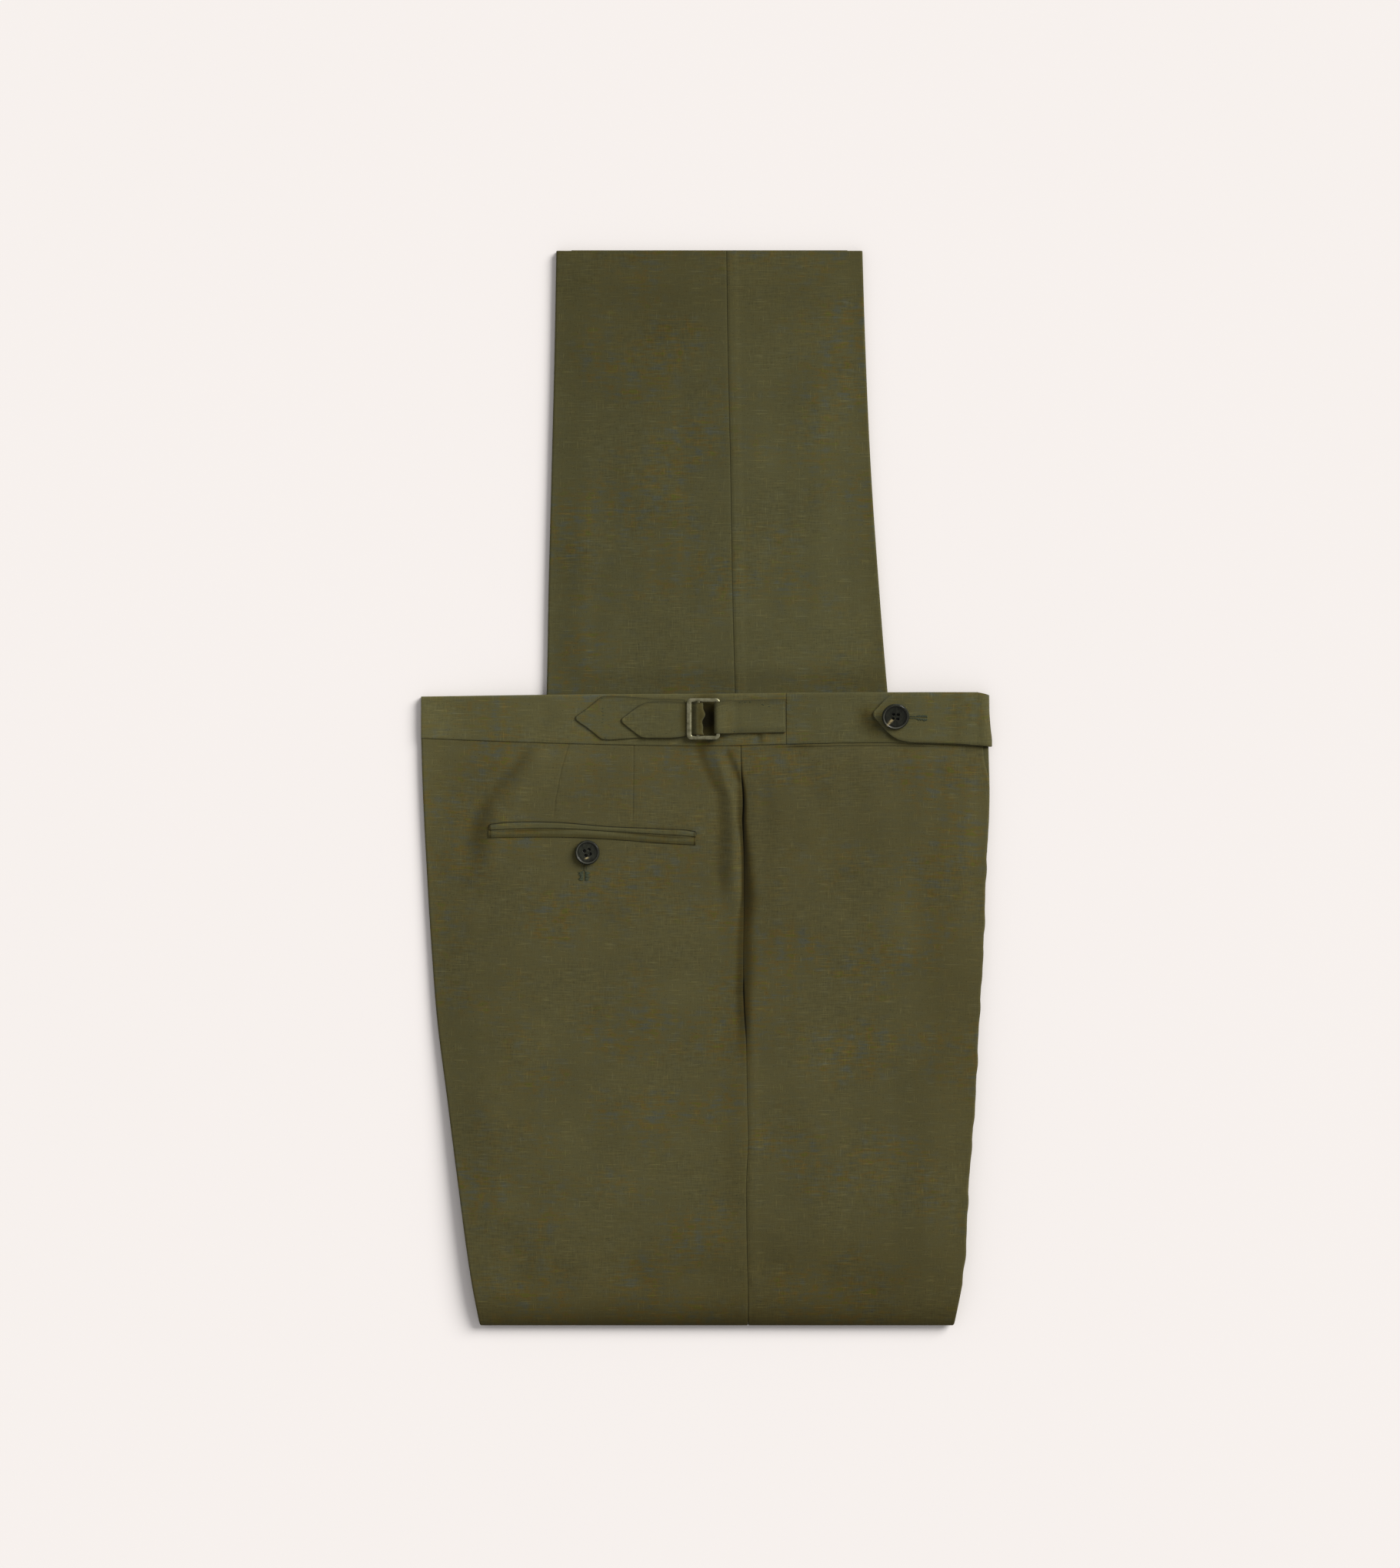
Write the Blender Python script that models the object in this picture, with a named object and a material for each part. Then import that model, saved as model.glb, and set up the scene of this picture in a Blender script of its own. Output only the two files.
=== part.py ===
"""Pleated linen trousers with side adjusters, pressed crease to crease and folded once, lying flat.

Frame: +Z up with the surface they lie on at z = 0, +X towards the garment's front, +Y towards the hems.
The hips lie uppermost with the right side showing. The legs roll round the cross fold at -Y and come
back beneath, so the left leg shows beyond the waistband. Sizes are in millimetres until solid().
"""

import math

import bpy
import numpy as np
from mathutils import Vector
from mathutils.bvhtree import BVHTree
from mathutils.geometry import tessellate_polygon

MM = 0.001

# ---- Driving dimensions ------------------------------------------------------------------------------
CLOTH = 1.0  # one wall of linen
GAP = 0.3  # between pieces that are sewn together or lie on each other
HIDDEN = 2.4  # the inner layers of both legs, made as one solid
STACK = 2 * (CLOTH + GAP) + HIDDEN  # the right leg on the left leg
RIM = (STACK - GAP) / 2  # a pressed crease, where a leg's cloth turns back on itself
RIM_WIDTH = 10.0
RIM_NOSE = 1.6  # how far a crease takes to round over
PLEATED_RIM = CLOTH + 0.05  # the pleat's upper fold, with the pleat's own cloth beneath it
PLEAT_SETBACK = 3.8  # the pleat's fold at the waistband, behind the crease it runs into

FOLD_Y = -377.5  # the outermost line of the cross fold
HEM_Y = 377.5
ROLL_LENGTH = 26.0  # the cross fold rounds over within this
ROLL_Y = FOLD_Y + ROLL_LENGTH
ROLL_EASE = 2.0  # the layers crowd together by this factor inside the fold
BED = STACK + GAP  # where the hips lie on the legs
ROLL_HEIGHT = (BED + STACK) / 2
SAG_START, SAG_LENGTH = 12.0, 70.0  # beyond the legs beneath, the hips sink to the surface

BAND_PROUD = 0.5  # the waistband stands this much above the panels
BAND_END = 200.3  # the folded centre back of the waistband
BAND_SEAM_X = 56.0  # the seam at the side adjuster's strap
BAND_FRONT = 191.0  # the right half ends here, inside the extension
EXTENSION_SEAM = 185.0  # the extension is sewn to the left half here
EXTENSION = 2.0  # its thickness, folded double

POCKET_PUFF = 1.5  # how far the back panel's edge stands up along the side pocket
PUFF = 1.4  # loft of the upper hip layer
LEG_PUFF = 1.2  # loft of the upper leg layer beyond the waistband


def table(names, *lines):
    """Rows of numbers as one array for each named column."""
    return dict(zip(names.split(), np.array(lines, float).T))


HIPS = table(
    "y back side front",
    (30.5, -200.3, 24.3, 198.5),
    (-3.0, -199.3, 25.7, 199.2),
    (-57.0, -196.6, 26.7, 196.8),
    (-111.0, -193.3, 27.8, 194.9),
    (-165.0, -189.0, 27.9, 191.7),
    (-219.0, -182.0, 28.6, 189.0),
    (-273.0, -175.0, 29.2, 184.7),
    (-345.0, -165.0, 29.4, 180.2),
    (-377.5, -159.3, 29.4, 174.5),
)
LEGS = table(
    "y back side front",
    (-377.5, -159.3, 29.4, 174.5),
    (-345.0, -154.0, 28.8, 177.0),
    (-188.7, -129.1, 25.9, 156.1),
    (-40.8, -116.6, 22.7, 139.9),
    (66.2, -112.1, 20.3, 127.7),
    (141.8, -110.7, 18.4, 121.5),
    (228.2, -108.5, 17.0, 115.6),
    (314.6, -106.4, 15.1, 111.8),
    (377.5, -105.3, 14.3, 109.9),
)
WAIST = table(  # the waistband's seam and its top edge
    "x seam top",
    (-201.0, 34.8, 64.3),
    (-96.0, 31.0, 65.6),
    (24.0, 29.7, 66.4),
    (56.0, 30.6, 66.8),
    (130.0, 31.6, 67.2),
    (202.0, 29.2, 67.4),
)
EXTENSION_SHAPE = table(  # its pointed end and its edges, up to the fold round the front
    "x low high",
    (117.2, 50.3, 53.4),
    (120.7, 46.4, 56.8),
    (125.3, 40.8, 62.0),
    (130.0, 36.4, 65.0),
    (135.0, 33.4, 66.3),
    (142.9, 32.1, 67.0),
    (158.8, 31.4, 67.2),
    (182.5, 30.8, 67.1),
    (194.0, 30.2, 66.6),
    (202.0, 29.7, 66.4),
)
ADJUSTER_TAB = table(  # the wide tab beneath the adjuster's strap
    "x low high",
    (-91.4, 48.4, 49.8),
    (-84.0, 42.0, 56.0),
    (-76.0, 35.6, 62.4),
    (-71.0, 33.9, 64.1),
    (-58.0, 34.3, 64.2),
    (-40.0, 35.6, 62.9),
    (-22.0, 35.6, 62.2),
    (-15.0, 35.6, 62.0),
)
ADJUSTER_STRAP = table(
    "x low high",
    (-59.2, 46.8, 48.6),
    (-55.4, 42.6, 52.6),
    (-50.4, 38.6, 56.8),
    (-44.8, 35.8, 59.4),
    (-37.3, 35.1, 60.6),
    (-16.5, 35.9, 60.1),
    (-11.5, 37.0, 59.9),
    (0.0, 37.0, 59.9),
)
BUCKLE_STRAP = table("x low high", (4.9, 38.2, 60.0), (10.3, 38.1, 60.8), (55.7, 38.9, 62.3))
UPPER_JET = table(  # the back pocket's welts, with the slit between them
    "x low high",
    (-153.6, -29.4, -25.4),
    (-149.0, -29.3, -24.9),
    (-108.5, -28.3, -23.7),
    (-69.9, -30.2, -26.7),
    (-31.3, -32.6, -28.5),
    (-9.7, -34.1, -30.0),
    (-6.8, -34.6, -31.0),
)
LOWER_JET = table(
    "x low high",
    (-154.2, -35.2, -30.4),
    (-149.0, -35.1, -30.1),
    (-124.7, -34.4, -29.6),
    (-89.6, -34.4, -30.0),
    (-66.4, -36.0, -31.3),
    (-42.9, -37.8, -33.0),
    (-7.2, -40.1, -35.2),
)
BUCKLE_BACK, BUCKLE_FRONT = -13.7, 9.8
BUCKLE_LOW, BUCKLE_HIGH = 33.9, 63.0
BUCKLE_CORNER = 2.4
BUCKLE_BAR = 2.7
BUCKLE_WIDE_BAR = 3.8
BUCKLE_THICK = 1.4
CENTRE_BAR_X, CENTRE_BAR = -5.6, 2.6
STRAP_THICK = 1.0

POCKET_BUTTON = (-83.2, -45.2)
TAB_BUTTON = (132.6, 50.3)
BUTTON = table(  # half its section, from the flat back round the rim into the dish
    "radius height",
    (5.2, 0.0),
    (7.8, 0.7),
    (8.6, 1.6),
    (8.2, 2.6),
    (7.4, 3.0),
    (6.3, 2.6),
    (5.0, 2.1),
)
TAB_BUTTON_TILT = 16.0  # degrees, its upper edge raised


# ---- Curves and heights ------------------------------------------------------------------------------
def smooth(t):
    """0 to 1 with level ends."""
    t = np.clip(t, 0.0, 1.0)
    return t * t * (3.0 - 2.0 * t)


def through(rows, key, column, at):
    """A cubic curve through a table's column, its slope at each row taken from the neighbours."""
    x, y = rows[key], rows[column]
    order = np.argsort(x)
    x, y = x[order], y[order]
    slope = np.gradient(y, x)
    at = np.clip(np.asarray(at, float), x[0], x[-1])
    i = np.clip(np.searchsorted(x, at) - 1, 0, len(x) - 2)
    h = x[i + 1] - x[i]
    t = (at - x[i]) / h
    start = y[i] * (1 + 2 * t) * (1 - t) ** 2 + slope[i] * h * t * (1 - t) ** 2
    return start + y[i + 1] * t * t * (3 - 2 * t) + slope[i + 1] * h * t * t * (t - 1)


def seam_line(x):
    return through(WAIST, "x", "seam", x)


def bed(x, y):
    """Height of the hips' underside: on the legs beneath, sinking to the surface beyond them."""
    out = np.maximum(through(LEGS, "y", "back", y) - x, x - through(LEGS, "y", "front", y))
    return BED * (1.0 - smooth((out - SAG_START) / SAG_LENGTH))


def band_top(x, y):
    """Height of the right waistband's outer face."""
    return bed(x, y) + STACK + BAND_PROUD


def hip_lift(x, y, part):
    """Loft of the upper hip layer, most along the back edge of the side pocket."""
    back, side, front = (through(HIPS, "y", column, y) for column in ("back", "side", "front"))
    from_seam = (x - side) / 12.0
    mouth = smooth((20.0 - y) / 30.0) * smooth((y + 150.0) / 60.0) * np.exp(-from_seam * from_seam)
    lift = PUFF + (POCKET_PUFF if part == "back" else -PUFF) * mouth
    edges = np.minimum(x - back, front - x)
    pressed = smooth((edges - 2.0) / 30.0) * smooth((seam_line(x) - y) / 16.0)
    return lift * pressed * smooth((y - ROLL_Y) / 60.0)


def leg_lift(x, y):
    """Loft of the uppermost leg layer where it shows beyond the waistband."""
    edges = np.minimum(x - through(LEGS, "y", "back", y), through(LEGS, "y", "front", y) - x)
    return LEG_PUFF * smooth((edges - 2.0) / 30.0) * smooth((y - 72.0) / 32.0) * smooth((HEM_Y - y) / 30.0)


# ---- Stations along the legs, from the waist seam round the cross fold to the hems --------------------
HIP_SHARES = (0.0, 0.025, 0.05, 0.08, 0.11, 0.145, 0.18, 0.22, 0.27, 0.34, 0.42, 0.52, 0.64, 0.76, 0.88, 1.0)
ROLL_ANGLES = (68, 46, 26, 12, 0, -12, -26, -46, -68, -90)
LEG_HEIGHTS = (-290.0, -188.7, -100.0, -20.0, 50.0, 80.0, 104.0, 170.0, 250.0, 325.0, 350.0, HEM_Y)
STATIONS = (
    [("hip", share) for share in HIP_SHARES]
    + [("roll", math.radians(angle)) for angle in ROLL_ANGLES]
    + [("leg", y) for y in LEG_HEIGHTS]
)
PLEAT_END = 0.2  # share of the hips' length down to which the pleat's own cloth shows
BACK_SHARES = np.array((0.0, 0.09, 0.2, 0.33, 0.48, 0.64, 0.78, 0.87, 0.94, 1.0))  # crease rim to side seam
FRONT_SHARES = np.array((0.0, 0.14, 0.3, 0.46, 0.6, 0.74, 0.87, 0.94, 1.0))


def nominal(zone, value):
    """The table of edges and the height y that a station goes by."""
    if zone == "hip":
        return HIPS, 30.5 + value * (ROLL_Y - 30.5)
    if zone == "leg":
        return LEGS, value
    return (HIPS if value > 0 else LEGS), ROLL_Y - ROLL_LENGTH * math.cos(value)


def placed(zone, value, x, depth, layer, part):
    """Points at a station. depth counts from the right leg's outer face down through the stack."""
    x, depth = np.broadcast_arrays(np.asarray(x, float), np.asarray(depth, float))
    if zone == "hip":
        y = ROLL_Y + (1.0 - value) * (seam_line(x) - GAP - ROLL_Y)
        z = bed(x, y) + STACK - depth
        if layer == "right":
            z = z + hip_lift(x, y, part)
    elif zone == "roll":
        y = ROLL_Y - (ROLL_LENGTH - ROLL_EASE * depth) * math.cos(value)
        z = ROLL_HEIGHT + (ROLL_HEIGHT - depth) * math.sin(value)
    else:
        y = np.full(x.shape, value)
        z = depth + (leg_lift(x, y) if layer == "left" else 0.0)
    return np.stack([x, y, z], axis=-1)


def panel_lines(zone, value, layer, part):
    """Crease, direction inwards, and the x of each line from the crease's rim to the side seam."""
    rows, y = nominal(zone, value)
    if part == "back":
        crease = float(through(rows, "y", "back", y))
        seam, inward, shares = float(through(rows, "y", "side", y)) - GAP / 2, 1.0, BACK_SHARES
    else:
        shown = zone == "hip" and layer == "right"
        mouth = 3.4 * float(smooth((5.0 - y) / 20.0) * smooth((y + 95.0) / 40.0)) if shown else 0.0
        pleat = PLEAT_SETBACK * float(smooth((y - 6.0) / 22.0)) if shown else 0.0
        crease = float(through(rows, "y", "front", y)) - pleat
        seam, inward, shares = float(through(rows, "y", "side", y)) + GAP / 2 + mouth, -1.0, FRONT_SHARES
    start = crease + inward * RIM_WIDTH
    return crease, inward, start + (seam - start) * shares


# ---- Solids from rings -------------------------------------------------------------------------------
LINEN = ((0.079, 0.069, 0.029), 0.9, 0.0)
INNER_LINEN = ((0.07, 0.061, 0.026), 0.92, 0.0)
HORN = ((0.03, 0.032, 0.022), 0.35, 0.0)
NICKEL = ((0.32, 0.32, 0.24), 0.38, 1.0)


def clear_scene():
    for obj in list(bpy.data.objects):
        bpy.data.objects.remove(obj, do_unlink=True)


def finish(name, look):
    colour, roughness, metallic = look
    material = bpy.data.materials.new(name)
    material.use_nodes = True
    shader = material.node_tree.nodes["Principled BSDF"]
    shader.inputs["Base Color"].default_value = (*colour, 1.0)
    shader.inputs["Roughness"].default_value = roughness
    shader.inputs["Metallic"].default_value = metallic
    return material


def solid(name, points, faces, look):
    """A closed mesh object in its own material, from points in millimetres, turned outwards."""
    points = np.asarray(points, float) * MM
    volume = 0.0
    for face in faces:
        for k in range(1, len(face) - 1):
            a, b, c = points[face[0]], points[face[k]], points[face[k + 1]]
            volume += float(np.dot(a, np.cross(b, c)))
    if volume < 0:
        faces = [tuple(reversed(face)) for face in faces]
    mesh = bpy.data.meshes.new(name)
    mesh.from_pydata([tuple(p) for p in points], [], faces)
    mesh.materials.append(finish(name, look))
    mesh.shade_smooth()
    mesh.set_sharp_from_angle(angle=math.radians(40))
    obj = bpy.data.objects.new(name, mesh)
    bpy.context.scene.collection.objects.link(obj)
    return obj


def ring_faces(stations, count, rising):
    """Triangles between rings. rising tells each step round the ring which diagonal cuts its faces, so
    that the two faces of a wall are cut alike and layers that lie on each other stay parallel."""
    faces = []
    for j in range(stations - 1):
        for k in range(count):
            n = (k + 1) % count
            a, b, c, d = j * count + k, j * count + n, (j + 1) * count + n, (j + 1) * count + k
            faces += [(a, b, c), (a, c, d)] if rising[k] else [(a, b, d), (b, c, d)]
    return faces


def caps(faces, cap, last):
    """Closes both ends: cap lists faces on the first ring, and last is the last ring's first point."""
    faces += [tuple(reversed(face)) for face in cap]
    faces += [tuple(last + k for k in face) for face in cap]


def panel(name, layer, part):
    """A leg panel, a wall with a doubled rim at its crease, from the waist seam round to the hem."""
    angles = np.radians([60.0, 20.0, -20.0, -60.0])
    rings = []
    for zone, value in STATIONS:
        crease, inward, lines = panel_lines(zone, value, layer, part)
        pleated = zone == "hip" and value < PLEAT_END and layer == "right" and part == "front"
        rim = PLEATED_RIM if pleated else RIM
        nose = crease + inward * RIM_NOSE
        nose_x = nose - inward * RIM_NOSE * np.cos(angles)
        x = np.concatenate([lines[::-1], [nose], nose_x, [nose, lines[0]], lines])
        outer = np.zeros(len(lines) + 1)
        turned = rim / 2 * (1.0 - np.sin(angles))
        depth = np.concatenate([outer, turned, [rim, rim], np.full(len(lines), CLOTH)])
        if layer == "left":
            depth = STACK - depth
        rings.append(placed(zone, value, x, depth, layer, part))
    count, n = len(rings[0]), len(lines)
    towards_front = part == "front"
    rising = [towards_front] * (n + 4) + [not towards_front] * (count - n - 4)
    cap = [(i, i + 1, count - 2 - i, count - 1 - i) for i in range(n - 1)]
    cap.append(tuple(range(n - 1, n + 8)))
    faces = ring_faces(len(rings), count, rising)
    caps(faces, cap, (len(rings) - 1) * count)
    return solid(name, np.concatenate(rings), faces, LINEN)


def inner_layers():
    """The cloth between the outer panels, rounded at its edges and split in two layers along them."""
    top, bottom, middle = CLOTH + GAP, STACK - CLOTH - GAP, STACK / 2
    half_groove, bevel, groove = 0.3, 0.4, 0.8
    rows = (top, middle - half_groove, middle, middle + half_groove, bottom)
    blocks = []
    for zone, value in STATIONS:
        _, _, back = panel_lines(zone, value, "right", "back")
        _, _, front = panel_lines(zone, value, "right", "front")
        side = float(through(nominal(zone, value)[0], "y", "side", nominal(zone, value)[1]))
        x = np.concatenate([[back[0] + GAP], back[1:-1], [side], front[1:-1][::-1], [front[0] - GAP]])
        block = []
        for row, depth in enumerate(rows):
            line = x.copy()
            inset = (bevel, 0.0, groove, 0.0, bevel)[row]
            line[0] += inset
            line[-1] -= inset
            block.append(placed(zone, value, line, depth, "inner", "both"))
        blocks.append(np.array(block))
    points = np.array(blocks)  # station, row, line
    points[-1, 2, 1:-1, 1] -= 1.2  # the groove between the two layers at the hem
    stations, depth_rows, lines = points.shape[:3]
    loop = [(0, k) for k in range(lines)] + [(r, lines - 1) for r in range(1, depth_rows)]
    loop += [(depth_rows - 1, k) for k in range(lines - 2, -1, -1)]
    loop += [(r, 0) for r in range(depth_rows - 2, 0, -1)]
    index = {}
    used = []
    for j in range(stations):
        for row in range(depth_rows):
            for k in range(lines):
                inside = 0 < row < depth_rows - 1 and 0 < k < lines - 1
                if not inside or j in (0, stations - 1):
                    index[j, row, k] = len(used)
                    used.append(points[j, row, k])
    faces = []
    for j in range(stations - 1):
        for (r0, k0), (r1, k1) in zip(loop, loop[1:] + loop[:1]):
            a, b, c, d = index[j, r0, k0], index[j, r1, k1], index[j + 1, r1, k1], index[j + 1, r0, k0]
            rising = k1 >= k0
            faces += [(a, b, c), (a, c, d)] if rising else [(a, b, d), (b, c, d)]
    for row in range(depth_rows - 1):
        for k in range(lines - 1):
            corners = ((row, k), (row + 1, k), (row + 1, k + 1), (row, k + 1))
            faces.append(tuple(index[0, r, c] for r, c in corners))
            faces.append(tuple(index[stations - 1, r, c] for r, c in reversed(corners)))
    return solid("inner_layers", used, faces, INNER_LINEN)


def pleat_fold():
    """The pleat's own cloth, under its fold and a little beyond it at the front edge."""
    upper, lower = PLEATED_RIM + GAP, RIM
    rings = []
    for share in HIP_SHARES:
        if share < PLEAT_END:
            rows, y = nominal("hip", share)
            front = float(through(rows, "y", "front", y))
            setback = PLEAT_SETBACK * float(smooth((y - 6.0) / 22.0))
            inner = front - setback - RIM_WIDTH + 2 * GAP
            x = np.array([inner, front - 5.0, front - 0.9, front, front, front - 0.9, front - 5.0, inner])
            mid = (upper + lower) / 2
            depth = np.array([upper, upper, upper, mid - 0.15, mid + 0.15, lower, lower, lower])
            rings.append(placed("hip", share, x, depth, "right", "front"))
    count = len(rings[0])
    faces = ring_faces(len(rings), count, [True] * 4 + [False] * 4)
    caps(faces, [(0, 1, 6, 7), (1, 2, 5, 6), (2, 3, 4, 5)], (len(rings) - 1) * count)
    return solid("pleat_fold", np.concatenate(rings), faces, LINEN)


# ---- Waistband and what lies on it ----------------------------------------------------------------------
BAND_LINES = (-199.4, -186, -170, -153, -136, -119, -102, -86, -70, -54, -38, -22, -6, 10, 26, 42)
BAND_FRONT_LINES = (70, 84, 98, 112, 126, 140, 154, 168, 180)


def waistband(name, ends, lines, upper, rounded_back):
    """A flat tube of folded cloth between two ends. upper is the half that shows."""
    outer, inner = (-BAND_PROUD, RIM) if upper else (STACK, STACK - RIM)
    stations = [ends[0], *[x for x in lines if ends[0] < x < ends[1]], ends[1]]
    turn = 1.0 if inner > outer else -1.0
    rings = []
    for i, x in enumerate(stations):
        pinch = 0.7 if rounded_back and i == 0 else 0.0
        low, high = float(seam_line(x)), float(through(WAIST, "x", "top", x))
        y = np.array([low, low, low + 0.5, high - 1.2, high - 0.3, high, high - 0.3, high - 1.2])
        near, far = outer + turn * pinch, inner - turn * pinch
        mid = (near + far) / 2
        depth = np.array([far, near + turn * 0.3, near, near, near + turn * 0.4, mid, far - turn * 0.4, far])
        rings.append(np.stack([np.full(len(y), x), y, bed(x, y) + STACK - depth], axis=-1))
    count = len(rings[0])
    faces = ring_faces(len(rings), count, [True] * count)
    caps(faces, [(0, 1, 2, 3, 7), (3, 4, 6, 7), (4, 5, 6)], (len(rings) - 1) * count)
    return solid(name, np.concatenate(rings), faces, LINEN)


def edge(shape, column, x):
    return np.interp(x, shape["x"], shape[column])


def band(name, path, shape, forward_lean=None):
    """A strip of doubled cloth that follows a path of (x, height above the waistband, thickness).
    Its two edges come from shape. forward_lean(y) moves the stations past the front edge along x."""
    path = np.array(path, float)
    step = np.gradient(path[:, :2], axis=0)
    normal = np.stack([-step[:, 1], step[:, 0]], axis=-1)
    normal /= np.linalg.norm(normal, axis=1)[:, None]
    across = np.array((0.0, 0.34, 0.67, 1.0))
    round_edge = 0.35
    rings = []
    for (x, height, thick), (nx, nz) in zip(path, normal):
        low, high = float(edge(shape, "low", x)), float(edge(shape, "high", x))
        y = low + round_edge + (high - low - 2 * round_edge) * across
        lean = forward_lean(x, y) if forward_lean else np.zeros(4)
        sides = []
        for sign, at, slide in ((1, y, lean), (0, np.array([high]), lean[-1:]), (-1, y[::-1], lean[::-1])):
            px = x + slide + sign * nx * thick / 2
            pz = band_top(x, at) + height + sign * nz * thick / 2
            sides.append(np.stack([px, at, pz], axis=-1))
        end = np.array([[x + lean[0], low, float(band_top(x, low)) + height]])
        rings.append(np.concatenate(sides + [end]))
    count = len(rings[0])
    faces = ring_faces(len(rings), count, [True] * count)
    caps(faces, [(0, 1, 7, 8), (1, 2, 6, 7), (2, 3, 5, 6), (3, 4, 5), (8, 9, 0)], (len(rings) - 1) * count)
    return solid(name, np.concatenate(rings), faces, LINEN)


def extension_tab():
    """The left half's extension, turned round the front edge and buttoned on the right half."""
    over = GAP + EXTENSION / 2
    down = -(STACK + BAND_PROUD)
    flat = [(x, over, EXTENSION) for x in (117.2, 120.7, 125.3, 130, 135, 142.9, 154, 168, 180, 190)]
    turn = [
        (196.0, over - 0.25, EXTENSION),
        (198.4, over - 1.7, EXTENSION),
        (199.3, over - 3.4, EXTENSION),
        (198.9, over - 5.0, EXTENSION),
        (197.2, down + RIM / 2 + 0.5, EXTENSION),
        (194.0, down + RIM / 2, RIM),
        (EXTENSION_SEAM + GAP, down + RIM / 2, RIM),
    ]

    def lean(x, y):
        return -2.6 * smooth((y - 36.0) / 20.0) * float(smooth((x - 190.0) / 6.0))

    return band("extension_tab", flat + turn, EXTENSION_SHAPE, forward_lean=lean)


def adjuster():
    """The wide tab, the pointed strap hooked round the buckle's centre bar, and the sewn-on strap."""
    tab_x = (-91.4, -84.0, -76.0, -71.0, -58.0, -47.0, -32.0, -22.0, -15.0)
    first = GAP + STRAP_THICK / 2
    band("adjuster_tab", [(x, first, STRAP_THICK) for x in tab_x], ADJUSTER_TAB)

    second = first + STRAP_THICK + GAP
    bar_low = second + STRAP_THICK / 2 + GAP
    bar_high = bar_low + BUCKLE_THICK
    over = bar_high + GAP + STRAP_THICK / 2
    nose = CENTRE_BAR_X + CENTRE_BAR / 2 + GAP + STRAP_THICK / 2
    hook = [(x, second, STRAP_THICK) for x in (-59.2, -55.4, -50.4, -44.8, -37.3, -26.0, -15.0, -10.6)]
    hook += [
        (-8.8, second + 0.5, STRAP_THICK),
        (-7.8, second + 1.8, STRAP_THICK),
        (-6.9, over + 0.1, STRAP_THICK),
        (nose - 1.0, over + 0.1, STRAP_THICK),
        (nose, over - 0.9, STRAP_THICK),
        (nose, second + 0.7, STRAP_THICK),
        (nose - 1.0, second - 0.2, STRAP_THICK),
        (nose - 3.2, second - 0.3, STRAP_THICK),
    ]
    band("adjuster_strap", hook, ADJUSTER_STRAP)

    bar_back = BUCKLE_FRONT - BUCKLE_BAR
    turn = bar_back - GAP - STRAP_THICK / 2
    sewn = [(BAND_SEAM_X - GAP, GAP + 0.95, 1.9), (42.0, GAP + 0.95, 1.9), (26.0, GAP + 0.95, 1.9)]
    sewn += [
        (19.0, GAP + 1.3, 1.5),
        (14.5, over - 1.0, STRAP_THICK),
        (11.0, over + 0.1, STRAP_THICK),
        (turn + 1.0, over + 0.1, STRAP_THICK),
        (turn, over - 0.9, STRAP_THICK),
        (turn, second + 0.7, STRAP_THICK),
        (turn + 1.0, second - 0.2, STRAP_THICK),
        (11.0, second - 0.3, STRAP_THICK),
        (13.0, second - 0.4, STRAP_THICK),
    ]
    band("buckle_strap", sewn, BUCKLE_STRAP)
    buckle(bar_low, bar_high)


def rounded_rectangle(x0, y0, x1, y1, corner, steps=4):
    """Corner arcs joined by straight sides, counter-clockwise."""
    points = []
    centres = ((x1 - corner, y0 + corner, -90), (x1 - corner, y1 - corner, 0))
    centres += ((x0 + corner, y1 - corner, 90), (x0 + corner, y0 + corner, 180))
    for cx, cy, start in centres:
        for i in range(steps + 1):
            angle = math.radians(start + 90.0 * i / steps)
            points.append((cx + corner * math.cos(angle), cy + corner * math.sin(angle)))
    return points


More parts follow.
